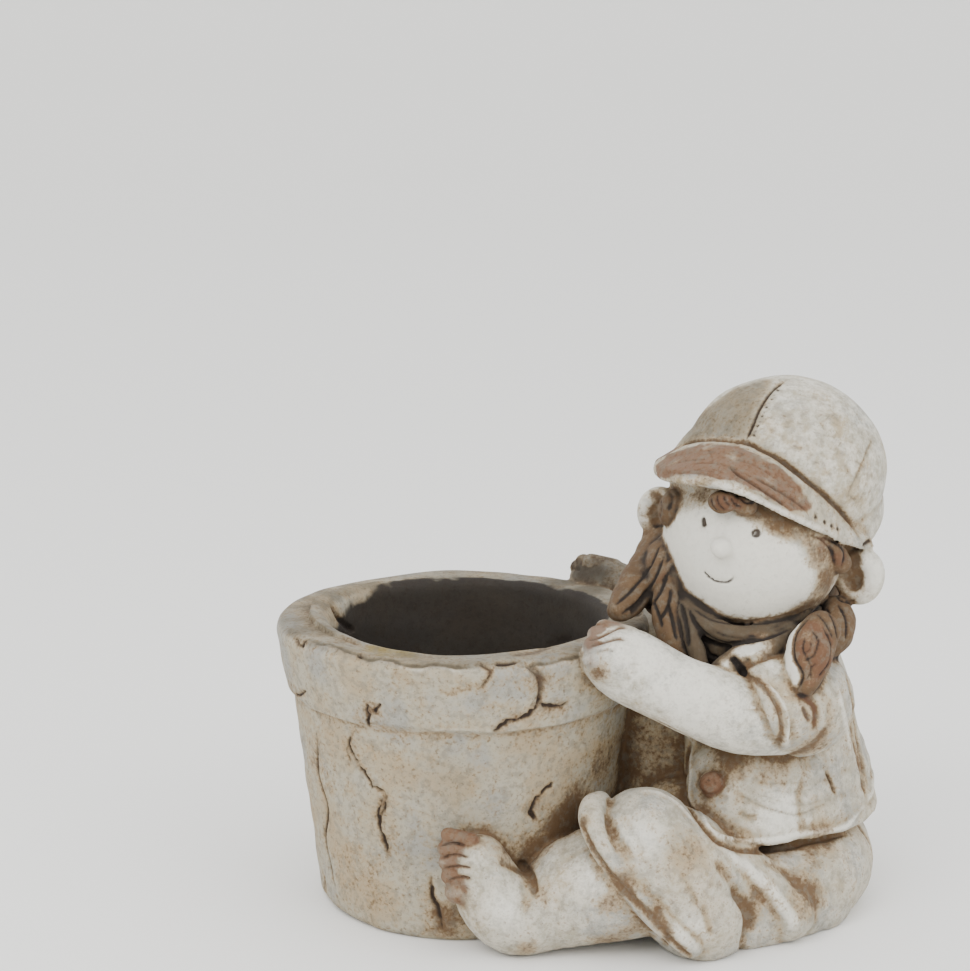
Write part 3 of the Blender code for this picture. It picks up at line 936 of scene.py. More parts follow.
        # painted shade inside the pot, from a ragged edge under the lip, reaching higher at the back
        inside = (radius < 103.0) & (local[:, 2] > 12.0) & (radius < 72.0 + local[:, 2] * 0.13)
        back = np.clip((local[:, 1] + 0.45 * local[:, 0]) / 60.0, 0.0, 1.0)
        ragged = surface.uneven(16.0, self.SEED + 2) * (5.0 - 3.0 * back)
        ragged += surface.uneven(5.0, self.SEED + 4) * 1.5
        depth = self.DARK_TOP + self.DARK_RISE * back - local[:, 2] + ragged
        depth = np.clip(depth / (9.0 - 4.0 * back), 0.0, 1.0)
        surface.tones[Tone.SHADE] += np.where(inside & surface.mask(Region.POT), depth, 0.0)
        high = surface.mask(Region.POT) & (local[:, 2] > self.RIM_TOP)
        top = np.clip((surface.normals[:, 2] - 0.35) / 0.4, 0.0, 1.0) * high
        surface.tones[Tone.WASH_AND_SHADE] += top * 0.06
        surface.tones[Tone.GRIME_AND_SHADE] += top * (0.34 + surface.uneven(14.0, self.SEED + 6) * 0.12)


class Body:
    """The child's body in its waistcoat, seated behind the pot."""

    SHELL = ((72, 0, 20, 78), (72, 0, 58, 78), (69, 0, 92, 71), (65, 0, 128, 66), (63, -2, 152, 50))
    CORNER = ((62, 44, 100, 38), (56, 50, 84, 39), (58, 50, 62, 41))
    HEM = ((0.0, 0.0, 60.0), (0.0, 0.0, -1.0))
    OPENING = ((20.0, 0.0, 0.0), (-1.0, 0.0, 0.0))
    FRONT_CUT = ((32.0, 0.0, 66.0), (-0.6, 0.0, -0.8))
    MARKS = (
        mark(4, -1.2, (694, 744), (692, 769), (691, 798), (702, 815), pale=0.5),
        mark(5, 2.2, (690, 742), (687, 769), (686, 800), (699, 820), (712, 839), wash=0.9, line=0.25),
        mark(6, -1.4, (702, 814), (713, 831), (737, 839), (772, 841), (804, 833), (842, 827), (864, 806),
            pale=0.6),
        mark(6, 2.6, (704, 826), (720, 843), (748, 850), (780, 849), (812, 841), (846, 835), wash=0.95,
            paint=0.3),
        mark(2.8, 0.7, (731, 790), (757, 804), (780, 812), (801, 814), (831, 800), line=0.4),
        mark(2.2, 0.4, (745, 788), (770, 798), (800, 805), (828, 798), line=0.35),
        mark(2.2, 0.4, (752, 781), (778, 784), (806, 782), line=0.35),
        mark(2, 0.4, (770, 790), (792, 792), (818, 788), line=0.35),
        mark(6, 0.8, (740, 812), (748, 818), (756, 816), line=0.35),
        mark(3.6, 1.8, (825, 771), (830, 782), (835, 794), line=0.5, wash=0.4),
        mark(6, 1.4, (846, 672), (852, 700), (856, 727), (862, 755), (868, 785), wash=0.3),
        mark(8, -1, (838, 690), (845, 722), (850, 752), pale=0.3),
        mark(7, -1.2, (866, 800), (872, 790), (871, 770), pale=0.3),
    )
    BUTTON_RIM = mark(
        3, 1.2, (711, 769), (720, 773), (724, 782), (720, 791), (711, 795), (702, 791), (698, 782), (702, 773),
        (711, 769), wash=0.8)
    BUTTON_HOLES = (
        mark(2.4, 0.8, (708, 780), (710, 781), line=0.75), mark(2.4, 0.8, (715, 783), (716, 784), line=0.75))
    BACK_SEAM = ((146, 2, 190), (148, 2, 150), (149, 2, 110), (147, 2, 68))
    BACK_FOLDS = (
        ((136, 40, 150), (140, 44, 110), (138, 48, 70)),
        ((136, -36, 150), (142, -34, 115), (140, -38, 75)),
        ((140, 22, 58), (146, 20, 36), (143, 24, 14)),
        ((140, -26, 56), (146, -24, 34), (141, -28, 12)),
    )
    SEED = 21

    def build(self, casting: Casting) -> None:
        """Add the seat, the trunk, the shirt's front and the waistcoat over them."""
        at = DRAWING.child
        casting.ball(Region.JACKET, at(86, 0, 26), (62, 88, 46), None, 40)
        casting.ball(Region.SHIRT, at(60, 0, 30), (58, 78, 44), None, 40)
        casting.limb(Region.SHIRT, ((16, 0, 30, 44), (16, 0, 122, 42)))
        for side in (-1, 1):
            casting.limb(Region.SHIRT, ((14, side * 46, 18, 30), (18, side * 42, 66, 26)))
        casting.limb(Region.SHIRT, ((66, 0, 50, 66), (62, 0, 118, 61), (62, -2, 150, 47)))
        casting.limb(Region.NECK, ((62, -8, 160, 42), (60, -24, 212, 38)))
        casting.ball(Region.NECK, at(60, -28, 178), (50, 44, 28), None, 32)
        casting.ball(Region.NECK, at(40, -36, 206), (32, 30, 26))
        casting.ball(Region.HAIR, at(80, 2, 212), (46, 50, 40), None, 32)
        self.waistcoat(casting)
        casting.ball(Region.BUTTON, at(34, -80, 98), (8, 5, 8))

    def waistcoat(self, casting: Casting) -> None:
        """Add the waistcoat's shell and its two flared front corners, cut at hem and front edges."""
        cuts = [(DRAWING.child(*place), Vector(way)) for place, way in (self.HEM, self.OPENING, self.FRONT_CUT)]
        casting.clipped(Region.JACKET, lambda part: part.limb(Region.JACKET, self.SHELL), cuts)
        for side in (-1, 1):
            corner = [(x, side * y, z, radius) for x, y, z, radius in self.CORNER]
            casting.clipped(Region.JACKET, lambda part: part.limb(Region.JACKET, corner), cuts)

    def dress(self, surface: Surface) -> None:
        """Fold and wrinkle the clothes, and set the button."""
        cloth = surface.blurred(surface.mask(Region.JACKET, Region.SHIRT, Region.SKIRT).astype(float), 6)
        surface.push(cloth * (
            surface.uneven(46.0, self.SEED) * 0.9 + surface.uneven(15.0, self.SEED + 1) * 0.35))
        surface.marked(self.MARKS)
        surface.marked((self.BUTTON_RIM, *self.BUTTON_HOLES))
        at = DRAWING.child
        surface.laid([at(*place) for place in self.BACK_SEAM], 3.0, 1.3, SEAM)
        for fold in self.BACK_FOLDS:
            surface.laid([at(*place) for place in fold], 12.0, 1.8, {Tone.WASH_AND_SHADE: 0.3})


class Legs:
    """The two folded legs under the skirt, which spreads round the pot, and the bare feet beside it."""

    HEM_POINT = (-11.0, 115.0, 39.0)
    SHIN = ((-35, 4, 40, 36), (-66, 9, 28, 27), (-88, 13, 23, 24), (-102, 15, 37, 23), (-110, 17, 58, 18))
    TOES = (
        (-129, 18, 77, 4.6), (-131, 20, 69, 4.8), (-130, 22, 61, 5.0), (-128, 24, 53, 5.4),
        (-124, 24, 43, 7.2))
    ROLL = ((-36, 96, 92, 6.5), (-41, 108, 92, 8), (-41, 119, 83, 8), (-34, 127, 70, 7.5), (-22, 130, 55, 8),
            (-8, 132, 39, 8), (6, 132, 24, 8), (18, 130, 12, 8))
    MARKS = (
        mark(12, 0.8, (603, 812), (612, 830), (624, 852), (640, 880), (660, 908), (680, 932)),
        # painted shade along the groove between the skirt's rolled hem and the leg, down to the ground
        mark(7, 2.2, (581, 822), (589, 844), (600, 862), (612, 878), (632, 898), (652, 917), (668, 938),
            wash=0.9, paint=0.25),
        mark(9, 2, (668, 938), (682, 952), (698, 966), wash=0.6),
        mark(10, 0.7, (608, 800), (616, 808), (628, 826), (640, 850)),
        mark(13, 2.2, (716, 862), (726, 873), (738, 892), (746, 914), (745, 934), (738, 952), wash=0.2),
        mark(14, -2.2, (722, 848), (751, 872), (772, 892), (788, 914), (796, 930), pale=0.4),
        mark(7, 0.8, (702, 905), (707, 920), (711, 936), line=0.12),
        mark(7, 0.6, (680, 872), (690, 890), (697, 905), line=0.1),
        mark(14, 1.4, (763, 858), (785, 873), (806, 892), wash=0.15),
        mark(14, 1.6, (734, 890), (746, 906), (752, 930), wash=0.35),
        mark(13, 0.8, (845, 838), (847, 862), (843, 893)),
        mark(6, -1, (640, 790), (660, 793), (680, 805), (698, 826), pale=0.3),
        # painted shade in the gap where the leg leaves the skirt
        mark(9, 1.5, (654, 905), (668, 930), (664, 946), wash=0.6),
        mark(7, 2.2, (520, 861), (527, 870), (533, 880), (534, 896), wash=0.75),
        mark(8, 1.2, (500, 862), (512, 868), (522, 872), wash=0.5),
        mark(7, 0.6, (560, 862), (580, 852), (598, 842)),
    )
    TOE_GAPS = (
        ((438, 846), (452, 843), (466, 846)), ((440, 858), (455, 855), (469, 857)),
        ((443, 869), (458, 866), (471, 868)), ((447, 881), (460, 877), (472, 879)),
    )
    # painted shade: the brown stains at (622, 884), (610, 905), (640, 925) and (610, 940) darken the gap where
    # the leg leaves the skirt
    STAINS = (
        stain(449, 842, 8, paint=0.5), stain(453, 852, 8, paint=0.6), stain(456, 863, 8, paint=0.8),
        stain(458, 874, 8, paint=0.6), stain(461, 887, 9, paint=0.8), stain(588, 880, 15, pale=0.3),
        stain(622, 884, 13, wash=0.75), stain(540, 892, 10, wash=0.3), stain(505, 910, 20, pale=0.35),
        stain(525, 950, 12, wash=0.4), stain(610, 940, 20, wash=0.45), stain(560, 880, 14, paint=0.14),
        stain(480, 950, 14, wash=0.2), stain(584, 822, 6, wash=0.7), stain(690, 930, 18, pale=0.45),
        stain(640, 840, 22, pale=0.3), stain(754, 904, 16, wash=0.45, pale=-0.3),
        stain(808, 893, 24, wash=0.55, pale=-0.3), stain(812, 845, 24, wash=0.4, pale=-0.2),
        stain(686, 850, 20, wash=0.3, pale=-0.2), stain(790, 945, 18, wash=0.4),
        stain(610, 905, 12, wash=0.4), stain(640, 925, 18, wash=0.4),
    )

    def beside_pot(self, side: int, x: float, out: float, z: float, radius: float) -> tuple[float, ...]:
        """A joint beside the pot's wall, out from it by out millimetres."""
        return (x, side * (PotSizes().base_radius + out), z, radius)

    def build(self, casting: Casting) -> None:
        """Add both legs, mirrored."""
        for side in (-1, 1):
            self.leg(casting, side)

    def leg(self, casting: Casting, side: int) -> None:
        """Add one leg: the skirt over it with its rolled hem, the shin, the foot and its toes."""
        skirt = ((90, side * 48, 18, 40), (64, side * 76, 20, 33), (40, side * 86, 25, 33),
                 (10, side * 96, 47, 40), (-14, side * 99, 52, 39), (-48, side * 103, 50, 34))
        x, y, z = self.HEM_POINT
        cut = (DRAWING.child(x, side * y, z), Vector((-0.80, side * -0.05, -0.60)))
        casting.clipped(Region.SKIRT, lambda part: part.limb(Region.SKIRT, skirt), [cut])
        casting.limb(
            Region.SKIRT, ((-8, side * 102, 70, 32), (8, side * 105, 46, 33), (26, side * 104, 22, 31)))
        casting.limb(Region.SKIRT, ((48, side * 92, 48, 18), (80, side * 88, 18, 20)))
        casting.limb(Region.SKIRT, [(x, side * y, z, radius) for x, y, z, radius in self.ROLL], 4)
        shin = [self.beside_pot(side, *joint) for joint in self.SHIN]
        casting.limb(Region.LEG, [(20, side * 98, 42, 30), *shin])
        for x, out, z, radius in self.TOES:
            tip = self.beside_pot(side, x, out, z, radius)
            root = (tip[0] + 15, tip[1] + side * 4, tip[2] - 2, radius)
            casting.limb(Region.TOE, (tip, root))

    def dress(self, surface: Surface) -> None:
        """Fold the skirt and part the toes, with painted shade where the leg leaves the skirt."""
        surface.marked(self.MARKS)
        surface.marked([mark(2.8, 1.6, *trail, line=0.6, paint=0.8) for trail in self.TOE_GAPS])
        surface.stained(self.STAINS)


class Arms:
    """The two short-sleeved arms that reach round the rim, with a hand on it each."""

    FINGERS = ((-42, 104, 185, 6), (-42, 100, 192, 6), (-39, 94, 197, 6), (-34, 87, 199, 6))
    CUFF = (67.0, 82.0, 152.0)
    CUFF_FACING = (-0.92, 0.0, -0.388)
    MARKS = (
        mark(3.2, 1.5, (586, 640), (600, 637), (616, 629), (626, 628), paint=1, line=0.45),
        mark(3, 1.3, (588, 647), (602, 643), (617, 639), (626, 640), paint=0.9, line=0.4),
        mark(3.2, 1.3, (590, 628), (600, 624), (612, 620), paint=0.9, line=0.3),
        mark(2.2, 0.8, (596, 652), (606, 650), (614, 652), paint=0.6, line=0.3),
        mark(13, 0.6, (675, 657), (663, 668), (652, 676), (640, 682)),
        mark(6, 2, (748, 676), (764, 686), (777, 706), (782, 727), (778, 746), wash=0.9, line=0.2),
        mark(4, -1, (768, 684), (782, 704), (788, 727), (784, 746), pale=0.6),
        mark(7, 1.8, (797, 695), (806, 698), (814, 706), (816, 714), (814, 729), paint=0.7, wash=0.7,
            line=0.3),
        mark(4, 1.4, (802, 706), (806, 716), (810, 722), paint=0.8, line=0.4),
        # painted shade under the sleeve
        mark(12, 1, (776, 758), (794, 755), (814, 744), (828, 728), wash=0.3),
        mark(5, 0.4, (648, 716), (680, 732), (715, 749), (748, 756), wash=0.5),
        mark(13, 0.8, (820, 692), (829, 706), (832, 722), wash=0.2),
        mark(4, 1.5, (551, 572), (566, 568), (580, 570), wash=0.8),
    )
    # painted shade: the brown stains at (815, 745), (730, 762) and (775, 765) under the arm, and the dark grey
    # at (580, 570) and (598, 572) on the far hand
    STAINS = (
        stain(600, 630, 12, paint=0.55), stain(614, 622, 9, paint=0.45), stain(590, 642, 8, paint=0.5),
        stain(640, 652, 22, pale=0.35), stain(690, 690, 34, pale=0.3), stain(760, 650, 10, pale=0.3),
        stain(815, 745, 22, wash=0.35), stain(730, 762, 16, wash=0.75), stain(775, 765, 22, wash=0.35),
        stain(785, 818, 30, pale=0.45, wash=-0.2), stain(580, 570, 16, grime=0.6),
        stain(598, 572, 16, grime=0.6),
    )
    # the outline of the far hand, which is darkened with painted shade
    FAR_HAND = ((540, 604), (540, 540), (640, 540), (640, 604))

    def build(self, casting: Casting) -> None:
        """Add both arms, mirrored."""
        for side in (-1, 1):
            self.arm(casting, side)

    def on_rim(self, angle: float, out: float, up: float) -> Vector:
        """A place near the rim, in the frame: an angle round the pot, out from its face, up from its top."""
        sizes = PotSizes()
        return DRAWING.round_pot(angle, sizes.rim_radius + out, sizes.height + up)

    def joint(self, place: Vector, radius: float) -> tuple[float, float, float, float]:
        """A place in the frame as a joint of the child's drawing."""
        local = (place - DRAWING.child(0.0, 0.0, 0.0)) / MM
        return (local.x, local.y, local.z, radius)

    def arm(self, casting: Casting, side: int) -> None:
        """Add one arm: the sleeve and its cuff, the forearm, the hand and its fingers."""
        cuff = (self.CUFF[0], side * self.CUFF[1], self.CUFF[2])
        outward = Vector(self.CUFF_FACING)
        sleeve = ((88.5, side * 46, 147, 34), (86, side * 70, 147, 33), (40, side * 84, 156, 31))
        cut = (DRAWING.child(*cuff), outward)
        casting.clipped(Region.JACKET, lambda part: part.limb(Region.JACKET, sleeve), [cut])
        turn = outward.to_track_quat("Y", "Z").to_matrix().to_4x4()
        casting.ring(Region.JACKET, DRAWING.child(*cuff), turn, 28, 28, 4.5)
        casting.limb(Region.ARM, (
            (80, side * 74, 142, 26), (50, side * 88, 146, 25), (24, side * 94, 156, 23),
            (6, side * 94, 164, 22), self.joint(self.on_rim(side * 41, 14, -10), 23),
            self.joint(self.on_rim(side * 46, 10, -3), 19)))
        for x, y, z, radius in self.FINGERS:
            casting.limb(Region.FINGER, ((x, side * y, z, radius), (x + 16, side * (y + 2), z - 4, radius)))

    def dress(self, surface: Surface) -> None:
        """Part the fingers, set the cuff off from the arm, and darken the far hand and the place under the
        sleeve with painted shade.
        """
        # painted shade over the far hand
        surface.tint(surface.inside(self.FAR_HAND, Region.ARM, Region.FINGER), 3, {
            Tone.SHADE: 0.50, Tone.LINE: 0.24, Tone.WASH_AND_SHADE: 0.30, Tone.PALE: -0.7})
        surface.marked(self.MARKS)
        surface.stained(self.STAINS)


class Head:
    """The round head with its small face and its ears, turned towards the viewer."""

    TURN = heading(20, 0, 11)
    EARS = ((6, -4, 255, 9, 11, 5.5), (129, -40, 221.5, 8.5, 11.5, 7))
    NOSE = (720, 548)
    LEFT_EYE = mark(5.2, 1.6, (703, 519.5), (703.6, 524.5), line=1)
    RIGHT_EYE = mark(
        2.6, 1, (756, 529.8), (758.6, 530.8), (759.6, 533.4), (758.4, 536), (755.8, 537), (753.2, 535.4),
        (752.8, 532), (756, 529.8), (758.6, 530.8), (759.6, 533.4), line=0.95)
    RIGHT_PUPIL = mark(3, 0.6, (756, 533.2), (756.4, 533.6), line=0.7)
    MOUTH = mark(
        2.4, 1, (703, 570.5), (706, 574), (710, 577.8), (716, 581.5), (724, 582.8), (729, 581.6),
        (734.5, 577.5), line=0.95)
    MARKS = (
        mark(2.6, 0.8, (733, 576.5), (733, 580), line=0.4),
        mark(4, 0.4, (708, 541), (714, 538.5), (722, 538), (730, 541), line=0.22),
        mark(3, 0.4, (692, 517), (698, 514), (706, 516), line=0.12),
        mark(8, 1.6, (651, 490), (660, 500), (660, 515), (655, 528), wash=0.9, line=0.2),
        mark(5, 1.2, (668, 490), (672, 498), (667, 510), wash=0.8, line=0.3),
        mark(12, 2.2, (856, 556), (852, 566), (850, 578), (856, 588), wash=0.95, line=0.2),
        mark(5, 1.6, (836, 596), (844, 602), (856, 602), wash=0.8, line=0.4),
        mark(5, 0.4, (666, 540), (668, 566), (676, 590), (690, 606), wash=0.6),
        mark(4, 0.5, (690, 606), (708, 616), (735, 621), (765, 620), (795, 613), (820, 600), wash=0.8),
        mark(4, -0.4, (878, 560), (880, 575), (874, 590), pale=0.4),
    )
    STAINS = (
        stain(684, 504, 12, wash=0.5, pale=-0.5), stain(700, 500, 12, wash=0.45, pale=-0.4),
        stain(770, 512, 20, wash=0.7, pale=-0.7), stain(796, 526, 18, wash=0.8, pale=-0.8),
        stain(745, 510, 14, wash=0.5, pale=-0.4), stain(780, 530, 12, wash=0.3, pale=-0.3),
        stain(818, 550, 18, wash=0.8, pale=-0.8), stain(822, 592, 19, wash=0.6, pale=-0.6),
        stain(826, 574, 16, wash=0.7, pale=-0.7), stain(798, 612, 16, wash=0.6, pale=-0.5),
        stain(765, 622, 12, wash=0.5, pale=-0.4), stain(706, 612, 10, wash=0.4, pale=-0.3),
        stain(668, 560, 9, wash=0.4, pale=-0.3), stain(670, 520, 10, wash=0.3, pale=-0.3),
        stain(680, 592, 9, wash=0.35, pale=-0.3), stain(735, 622, 12, wash=0.45, pale=-0.4),
        stain(753, 592, 7, paint=0.18, pale=-0.2), stain(702, 526, 8, wash=0.18, pale=-0.2),
        stain(720, 562, 26, pale=0.3), stain(869, 572, 10, pale=0.5, wash=-0.4),
        stain(770, 560, 22, pale=0.25),
    )

    def build(self, casting: Casting) -> None:
        """Add the face, the nose and the ears."""
        at = DRAWING.child
        casting.ball(Region.FACE, at(62, -32, 242), (57, 54.5, 59.5), self.TURN, 56)
        casting.ball(Region.FACE, at(36, -84, 249), (7.2, 6.5, 6.8), None, 24)
        for x, y, z, across, high, thick in self.EARS:
            centre = at(x, y, z)
            casting.ball(Region.EAR, centre, (across + 3, 8, high + 3), self.TURN)
            front = centre + self.TURN @ Vector((0.0, -5.0 * MM, 0.0))
            casting.ring(Region.EAR, front, self.TURN, across, high, thick)

    def dress(self, surface: Surface) -> None:
        """Set the small features of the face, and hollow the ears."""
        surface.ease(self.NOSE, 15.0, 14)
        between = sum((np.array(DRAWING.child(*ear[:3])) for ear in self.EARS), np.zeros(3)) / 2
        forward = np.array(self.TURN @ Vector((0.0, -1.0, 0.0)))
        behind = surface.mask(Region.FACE) & ((surface.points - between) @ forward < -2.0 * MM)
        surface.tint(behind, 3, {Tone.PALE: -1.2, Tone.WASH_AND_SHADE: 1.0, Tone.SHADE: 0.2})
        surface.marked(self.MARKS)
        surface.stained(self.STAINS)
        surface.marked((self.LEFT_EYE, self.RIGHT_EYE, self.RIGHT_PUPIL, self.MOUTH))


class Cap:
    """The domed cap with its broad peak."""

    ROOT = ((130, -38, 243), (115, -56, 258), (106, -64, 275), (89, -66, 290), (70, -62, 303), (50, -50, 309),
            (36, -32, 307), (31, -10, 299), (32, 12, 288), (38, 32, 274), (54, 46, 258), (74, 50, 243))
    EDGE = ((134, -44, 241), (114, -66, 250), (100, -77, 258), (78, -87, 270), (57, -91, 281), (37, -90, 288),
            (15, -78, 290), (0, -46, 288), (2, -8, 285), (14, 26, 272), (36, 50, 256), (74, 55, 240))
    THICKNESS = 8.0
    ARCH = 0.9
    TUCK = 6.0
    JUNCTION = mark(
        5, 2.4, (674, 451), (688, 443.5), (712, 440), (745, 443), (762, 450), (780, 460), (802, 477),
        (823, 494), (844, 515), (860, 538), sharp=1.2, wash=0.8, line=0.45)
    SEAM = mark(3.2, 1.7, (746, 440), (753, 425), (760, 408), (772, 391), (787, 379), line=0.9)
    STITCHES = ((754, 435), (758, 425.5), (762, 416), (766.5, 407), (772, 399), (778, 390))
    MARKS = (
        mark(2.6, 0.9, (874, 435), (866, 455), (857, 476), (847, 497), line=0.4),
        mark(2, 0.5, (838, 508), (850, 500), (860, 496), line=0.35),
        mark(3.6, 1.8, (728, 465), (738, 474), (749, 481), (770, 495), (791, 510), line=0.5, paint=1),
        mark(3.4, 1, (660, 474), (684, 472), (706, 474), (724, 480), line=0.25, paint=0.8),
        mark(7, -1.3, (658, 460), (684, 452), (717, 450), (751, 455), (782, 470), (812, 492), paint=0.2),
        mark(6, -1, (656, 470), (662, 478), (684, 482), (711, 483), (743, 492), (774, 508), (804, 522),
            (835, 536), pale=0.35),
        mark(4, 2, (863, 546), (869, 541), (873, 538), line=0.9),
        mark(2.6, 0.7, (662, 468), (684, 461), (706, 459), line=0.4),
        mark(2.2, 0.6, (672, 476), (694, 470), (716, 472), line=0.35),
        mark(2.2, 0.6, (690, 464), (712, 463), (734, 468), (748, 476), line=0.35),
        mark(2.4, 0.7, (730, 458), (752, 464), (774, 478), (790, 492), line=0.3),
        mark(3.6, 1.1, (752, 476), (774, 488), (796, 502), (808, 512), line=0.45),
        mark(2.4, 0.7, (742, 486), (762, 496), (782, 508), line=0.4),
        # painted highlights: pale streaks along the painted peak
        mark(2.2, -0.5, (668, 463), (690, 455), (714, 453), (736, 458), pale=0.6),
        mark(2, -0.5, (756, 468), (776, 480), (792, 494), pale=0.6),
        mark(2, -0.4, (700, 476), (722, 477), (740, 483), pale=0.45),
    )
    PAINTED = (
        (655, 466), (668, 456), (684, 449), (712, 443), (738, 446), (762, 458), (782, 470), (804, 491),
        (811, 510), (791, 511), (766, 496), (738, 482), (717, 478), (690, 474), (660, 478)
    )
    LIP = ((656, 477), (690, 476), (717, 480), (717, 486), (690, 488), (658, 484))
    # the cap's dim side, darkened with painted shade
    DIM_SIDE = ((672, 455), (700, 414), (735, 388), (772, 378), (756, 410), (744, 442), (710, 440))
    SPECKS = ((816, 517), (825, 522), (832, 526), (838, 529))
    SCRATCHES = 220
    SCRATCH_FIELD = ((690, 400), (870, 520))
    BACK_SEAMS = (
        ((90, 10, 343), (112, 26, 334), (132, 38, 310), (142, 40, 280)),
        ((90, 0, 343), (122, 4, 332), (142, 6, 308), (147, 4, 276)),
        ((76, 10, 342), (70, 38, 326), (66, 52, 300)),
    )
    SEED = 41

    def build(self, casting: Casting) -> None:
        """Add the dome and the peak."""
        at = DRAWING.child
        casting.ball(Region.CAP, at(82.5, -12, 283.5), (64.5, 62, 59.5), None, 64)
        casting.ball(Region.CAP, at(71, -16, 281), (62, 56, 44), None, 56)
        casting.ball(Region.CAP, at(88, -4, 260), (59, 60, 44), None, 56)
        self.peak(casting)

    def peak(self, casting: Casting) -> None:
        """Loft the peak between its root on the cap and its edge."""
        roots = smooth_course(self.ROOT, 4)
        edges = smooth_course(self.EDGE, 4)
        lift = Vector((0.0, 0.0, self.THICKNESS / 2 * MM))
        sections = []
        for root, edge in zip(roots, edges):
            outer = DRAWING.child(*edge)
            inner = DRAWING.child(*root)
            way = (outer - inner).normalized()
            inner -= way * (self.TUCK * MM)
            middle = inner.lerp(outer, 0.55)
            tip = outer + way * (2.0 * MM)
            sections.append([inner + lift * 0.4, middle + lift * (1 + self.ARCH), outer + lift, tip,
                             outer - lift, inner - lift])
        casting.loft(Region.PEAK, sections)

    def dress(self, surface: Surface) -> None:
        """Seam, stitch and scratch the cap, paint its peak, and lay painted shade on its dim side and painted
        highlights along the peak.
        """
        cap = surface.blurred(surface.mask(Region.CAP, Region.PEAK).astype(float), 6)
        surface.push(cap * (
            surface.uneven(40.0, self.SEED) * 0.7 + surface.uneven(14.0, self.SEED + 1) * 0.25))
        surface.refresh()
        # painted shade on the cap's dim side
        surface.tint(surface.inside(self.DIM_SIDE, Region.CAP), 24, {
            Tone.PALE: -0.60, Tone.WASH_AND_SHADE: 0.20, Tone.GRIME_AND_SHADE: 0.36})
        painted = surface.inside(self.PAINTED, Region.PEAK, Region.CAP)
        streaks = 0.86 + 0.34 * surface.uneven(6.0, self.SEED + 2)
        upper = surface.mask(Region.PEAK) & (surface.normals[:, 2] > 0.3)
        far = upper & (surface.points[:, 1] > -25.0 * MM)
        surface.tint(painted | far, 5, {Tone.PAINT: 1.05, Tone.PALE: -0.4, Tone.WASH_AND_SHADE: 0.15, Tone.LINE: 0.08})
        surface.tones[Tone.PAINT] *= np.where(surface.mask(Region.PEAK, Region.CAP), streaks, 1.0)
        surface.tint(surface.inside(self.LIP, Region.PEAK), 4, {Tone.OCHRE: 0.35, Tone.WASH_AND_SHADE: 0.25})
        surface.marked((self.JUNCTION, self.SEAM))
        surface.marked(self.MARKS)
        for x, y in self.STITCHES:
            surface.patch((x, y), 1.6, {Tone.LINE: 0.9}, 0.8)
            surface.patch((x + 2, y - 4), 1.6, {Tone.LINE: 0.6}, 0.6)
        for pixel in self.SPECKS:
            surface.patch(pixel, 2.2, {Tone.LINE: 1.0}, 1.0)
        self.scratch(surface)
        for seam in self.BACK_SEAMS:
            surface.laid([DRAWING.child(*place) for place in seam], 3.0, 1.2, SEAM)

    def scratch(self, surface: Surface) -> None:
        """Scratch the cap with short brush marks that cross each other."""
        source = np.random.default_rng(self.SEED)
        (left, top), (right, bottom) = self.SCRATCH_FIELD
        for _ in range(self.SCRATCHES):
            x, y = source.uniform(left, right), source.uniform(top, bottom)
            turn = source.choice((0.35, 0.9, 2.2)) + source.normal(0.0, 0.25)
            reach = source.uniform(4.0, 11.0)
            ends = ((x, y), (x + reach * math.cos(turn), y + reach * math.sin(turn)))
            strength = source.uniform(0.1, 0.5)
            surface.marked((mark(1.9, 0.45, *ends, line=strength),))


